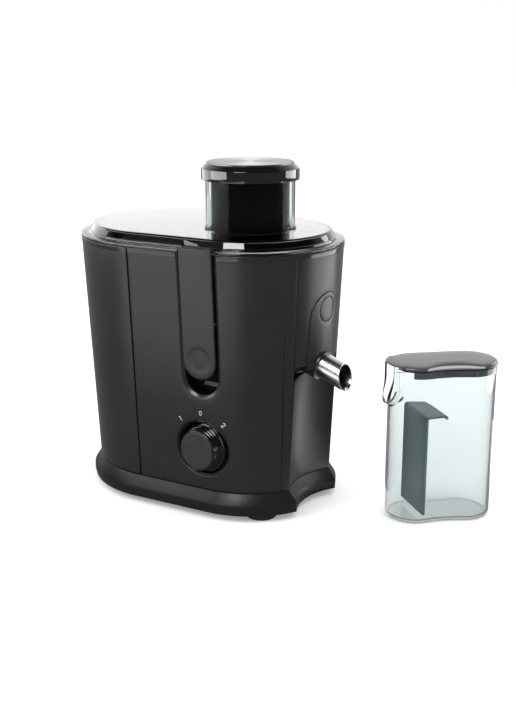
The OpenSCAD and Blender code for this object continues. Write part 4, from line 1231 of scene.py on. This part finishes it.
def jug_lid():
    """Domed lid: a finger scoop along each long side shows its lip, coloured light grey as a painted highlight band; an
    arch clears the spout.
    """
    b = Build()
    rim = JUG_H + 0.3
    along = PLAN[:, 0]
    scoop = 6.5 * np.exp(-(((along + 4) / 23.0) ** 4)) * (PLAN[:, 1] > 12)
    hollow = np.clip(JUG_W / 2 - np.abs(PLAN[:, 1]), 0, WAIST) * (np.abs(along) < JUG_LEN / 2 - JUG_W / 2)
    full = hollow * (PLAN[:, 1] < 0) + 0.6 * lip(rim)
    top = rim + 4.7
    rows = plan_rings(b, [(4.0, rim), (-0.7, rim), (-1.15, rim + 0.35), (-1.15, rim + 1.0), (-0.7, rim + 1.35)])
    rows += plan_rings(b, [(off - full, z) for off, z in (
        (np.maximum(-0.5, scoop * 0.55 - 0.5), rim + 1.5), (np.maximum(-0.3, scoop - 0.2), rim + 3.1),
        (np.maximum(0.1, scoop + 0.25), rim + 3.6), (np.maximum(1.0, scoop + 1.2), rim + 4.1),
        (np.maximum(3.0, scoop + 3.0), rim + 4.4), (10.0, top - 0.1), (16.0, top))])
    for a, c in zip(rows, rows[1:]):
        b.strip(a, c)
    cover_ring(b, rows[-1], True)
    cover_ring(b, rows[0], False)
    obj = b.finish("jug_lid_top", "jug_lid", SMOKE, ["jug_lid"], sharp=40)
    obj.data.materials.append(LID_LIP_HIGHLIGHT)
    obj.data.materials.append(SMOKE_RIM)
    cut_notch(obj, 18.5, 112.5, rim + 3.2)
    for poly in obj.data.polygons:
        z = poly.center.z / MM
        if z < rim + 1.2 and abs(poly.normal.z) < 0.99:
            poly.material_index = 2
        # Lip faces along the scoop take the light grey material: a painted highlight band.
        if rim + 1.3 < z < rim + 3.2 and abs(poly.normal.z) < 0.93:
            c, s = math.cos(-JUG_TURN), math.sin(-JUG_TURN)
            x = (poly.center.x / MM - SHIFT[0] - JUG_X) * c - (poly.center.y / MM - SHIFT[1] - JUG_Y) * s
            if abs(x + 4) < 27:
                poly.material_index = 1
    b = Build()
    rows = plan_rings(b, [(2.6, rim), (2.6, rim - 6.6), (3.0, rim - 7.0), (3.9, rim - 7.0), (4.3, rim - 6.6),
                          (4.3, rim)])
    for i, row in enumerate(rows):
        b.strip(rows[(i + 1) % len(rows)], row)
    skirt = b.finish("jug_lid_skirt", "jug_lid", SKIRT, sharp=40)
    cut_notch(skirt, 60.0, 60.0, rim + 3, start=33.5)
    return obj


jug()
separator()
jug_lid()

# ---------------------------------------------------------------- stage, lights, camera


def sheet_object(name, corners, material, camera=True):
    mesh = bpy.data.meshes.new(name)
    mesh.from_pydata([tuple(c) for c in corners], [], [(0, 1, 2, 3)])
    mesh.materials.append(material)
    obj = bpy.data.objects.new(name, mesh)
    bpy.context.scene.collection.objects.link(obj)
    obj.visible_camera = camera
    return obj


def seen_in_gloss(tree):
    """1 for rays that have been reflected by something glossy, 0 for the camera's own rays and soft light."""
    test = tree.nodes.new("ShaderNodeMath")
    test.operation = "GREATER_THAN"
    test.inputs[1].default_value = 0.5
    tree.links.new(tree.nodes.new("ShaderNodeLightPath").outputs["Glossy Depth"], test.inputs[0])
    return test.outputs[0]


def toward(tree, vector, way, low, high, to_low, to_high):
    """A value that grows from to_low to to_high along a direction."""
    dot, span = (tree.nodes.new(kind) for kind in ("ShaderNodeVectorMath", "ShaderNodeMapRange"))
    dot.operation = "DOT_PRODUCT"
    dot.inputs[1].default_value = way
    tree.links.new(vector, dot.inputs[0])
    tree.links.new(dot.outputs["Value"], span.inputs["Value"])
    for key, value in (("From Min", low), ("From Max", high), ("To Min", to_low), ("To Max", to_high)):
        span.inputs[key].default_value = value
    return span.outputs["Result"]


def mixed(m, other):
    """Shows another shader instead of the material's own to rays reflected by something glossy."""
    mix = m.new("ShaderNodeMixShader")
    m.link(seen_in_gloss(m.tree), mix.inputs[0])
    m.link(m.shader.outputs["BSDF"], mix.inputs[1])
    m.link(other, mix.inputs[2])
    m.link(mix.outputs[0], m.out.inputs["Surface"])


def floor_white():
    """White paper; in reflections it falls off to dark toward the camera."""
    m = Nodes("paper_white")
    tone = (0.86, 0.86, 0.86)
    m.link(m.ramp(m.noise(3, 2), [(0.3, tuple(c * 0.995 for c in tone)), (0.7, tone)]), m.shader.inputs["Base Color"])
    m.set(Roughness=0.9, Specular_IOR_Level=0.1, Emission_Color=(1, 1, 1, 1), Emission_Strength=FLOOR_GLOW)
    glow = m.new("ShaderNodeEmission")
    m.link(toward(m.tree, m.place, BACK, -0.2, 1.2, 0.25, 0.4), glow.inputs["Strength"])
    mixed(m, glow.outputs[0])
    m.material.cycles.emission_sampling = "NONE"
    return m.material


FLOOR, FLOOR_GLOW = 12.0, 0.25
corners = [(x * FLOOR, y * FLOOR, 0) for x, y in ((-1, -1), (1, -1), (1, 1), (-1, 1))]
sheet_object("studio_floor", corners, floor_white())


def glow_sheet(name, corners, strength):
    """Light sheet seen only in reflections, and not through clear plastic."""
    m = Nodes(name + "_glow")
    m.set(Base_Color=(0, 0, 0, 1), Specular_IOR_Level=0.0, Emission_Color=(1, 1, 1, 1), Emission_Strength=strength)
    through, mix = m.new("ShaderNodeMath"), m.new("ShaderNodeMixShader")
    through.operation = "GREATER_THAN"
    through.inputs[1].default_value = 0.5
    m.link(m.new("ShaderNodeLightPath").outputs["Transmission Depth"], through.inputs[0])
    m.link(through.outputs[0], mix.inputs[0])
    m.link(m.shader.outputs["BSDF"], mix.inputs[1])
    m.link(m.new("ShaderNodeBsdfTransparent").outputs[0], mix.inputs[2])
    m.link(mix.outputs[0], m.out.inputs["Surface"])
    obj = sheet_object(name, corners, m.material, camera=False)
    obj.visible_diffuse = obj.visible_shadow = obj.visible_transmission = False
    return obj


def card(name, azimuth, half_width, distance, z0, z1, strength):
    """Upright sheet round the spindle, azimuth from +X in degrees, lengths in metres."""
    a = math.radians(azimuth)
    c, t = HUB + Vector((math.cos(a), math.sin(a), 0)) * distance, Vector((-math.sin(a), math.cos(a), 0)) * half_width
    low, high = Vector((0, 0, z0)), Vector((0, 0, z1))
    return glow_sheet(name, [c - t + low, c + t + low, c + t + high, c - t + high], strength)


card("card_body_left", -98, 0.27, 0.47, 0.0, 0.19, 2.1)
card("card_high_left", -132, 0.20, 0.47, 0.22, 0.42, 6.5)
card("card_high_far", -178, 0.19, 0.47, 0.22, 0.42, 3.0)
card("card_high_right", 52, 0.20, 0.55, 0.22, 0.45, 6.0)
card("card_body_right", 42, 0.25, 0.6, 0.0, 0.16, 4.5)

# on the floor beside the hollow side, to light it from below
corners = [HUB + Vector((x, y, 0.001)) for x, y in ((0.095, -0.04), (0.14, 0.0), (0.30, 0.35), (0.08, 0.35))]
glow_sheet("card_hollow_side", corners, 1.7)

# small softbox above and in front
way = Vector((0.114, -0.782, 0.612)).normalized()
across = way.cross(Vector((0, 0, 1))).normalized() * 0.2
rise = across.cross(way).normalized() * 0.25
middle = HUB + Vector((0, 0, 0.26)) + way
corners = [middle + across * x + rise * y for x, y in ((-1, -1), (1, -1), (1, 1), (-1, 1))]
glow_sheet("card_softbox", corners, 20.0)


def area_light(name, where, size, power, target=(0.0, 0.0, 0.12)):
    data = bpy.data.lights.new(name, "AREA")
    data.shape, data.size, data.size_y, data.energy = "RECTANGLE", size[0], size[1], power
    obj = bpy.data.objects.new(name, data)
    bpy.context.scene.collection.objects.link(obj)
    obj.location = HUB + Vector(where)
    obj.rotation_euler = (Vector(target) - Vector(where)).to_track_quat("-Z", "Y").to_euler()
    obj.visible_camera = obj.visible_glossy = False
    return obj


area_light("soft_key", (-0.9, -1.3, 1.5), (1.2, 1.2), 14)
area_light("soft_top", (0.2, 0.3, 1.8), (1.6, 1.6), 14)

world = bpy.data.worlds.new("studio_air")
bpy.context.scene.world = world
world.use_nodes = True
air = world.node_tree
gloss = toward(air, air.nodes.new("ShaderNodeTexCoord").outputs["Generated"], BACK, 0.15, 0.96, 0.04, 1.5)
pick = air.nodes.new("ShaderNodeMix")
air.links.new(seen_in_gloss(air), pick.inputs["Factor"])
pick.inputs["A"].default_value = 1.0
air.links.new(gloss, pick.inputs["B"])
air.links.new(pick.outputs["Result"], air.nodes["Background"].inputs["Strength"])
air.nodes["Background"].inputs["Color"].default_value = (1, 1, 1, 1)
world.cycles.sampling_method = "NONE"

camera_data = bpy.data.cameras.new("camera")
camera = bpy.data.objects.new("camera", camera_data)
bpy.context.scene.collection.objects.link(camera)
AZ, PITCH = math.radians(34.86), math.radians(15.85)
camera.location = HUB + Vector((0.5881, -0.8318, 0.4266))
look = Vector((-math.sin(AZ) * math.cos(PITCH), math.cos(AZ) * math.cos(PITCH), -math.sin(PITCH)))
camera.rotation_euler = look.to_track_quat("-Z", "Y").to_euler()
camera_data.sensor_width, camera_data.lens = 36.0, 54.77
camera_data.clip_start, camera_data.clip_end = 0.02, 60
bpy.context.scene.camera = camera
bpy.context.scene.view_settings.view_transform = "Standard"
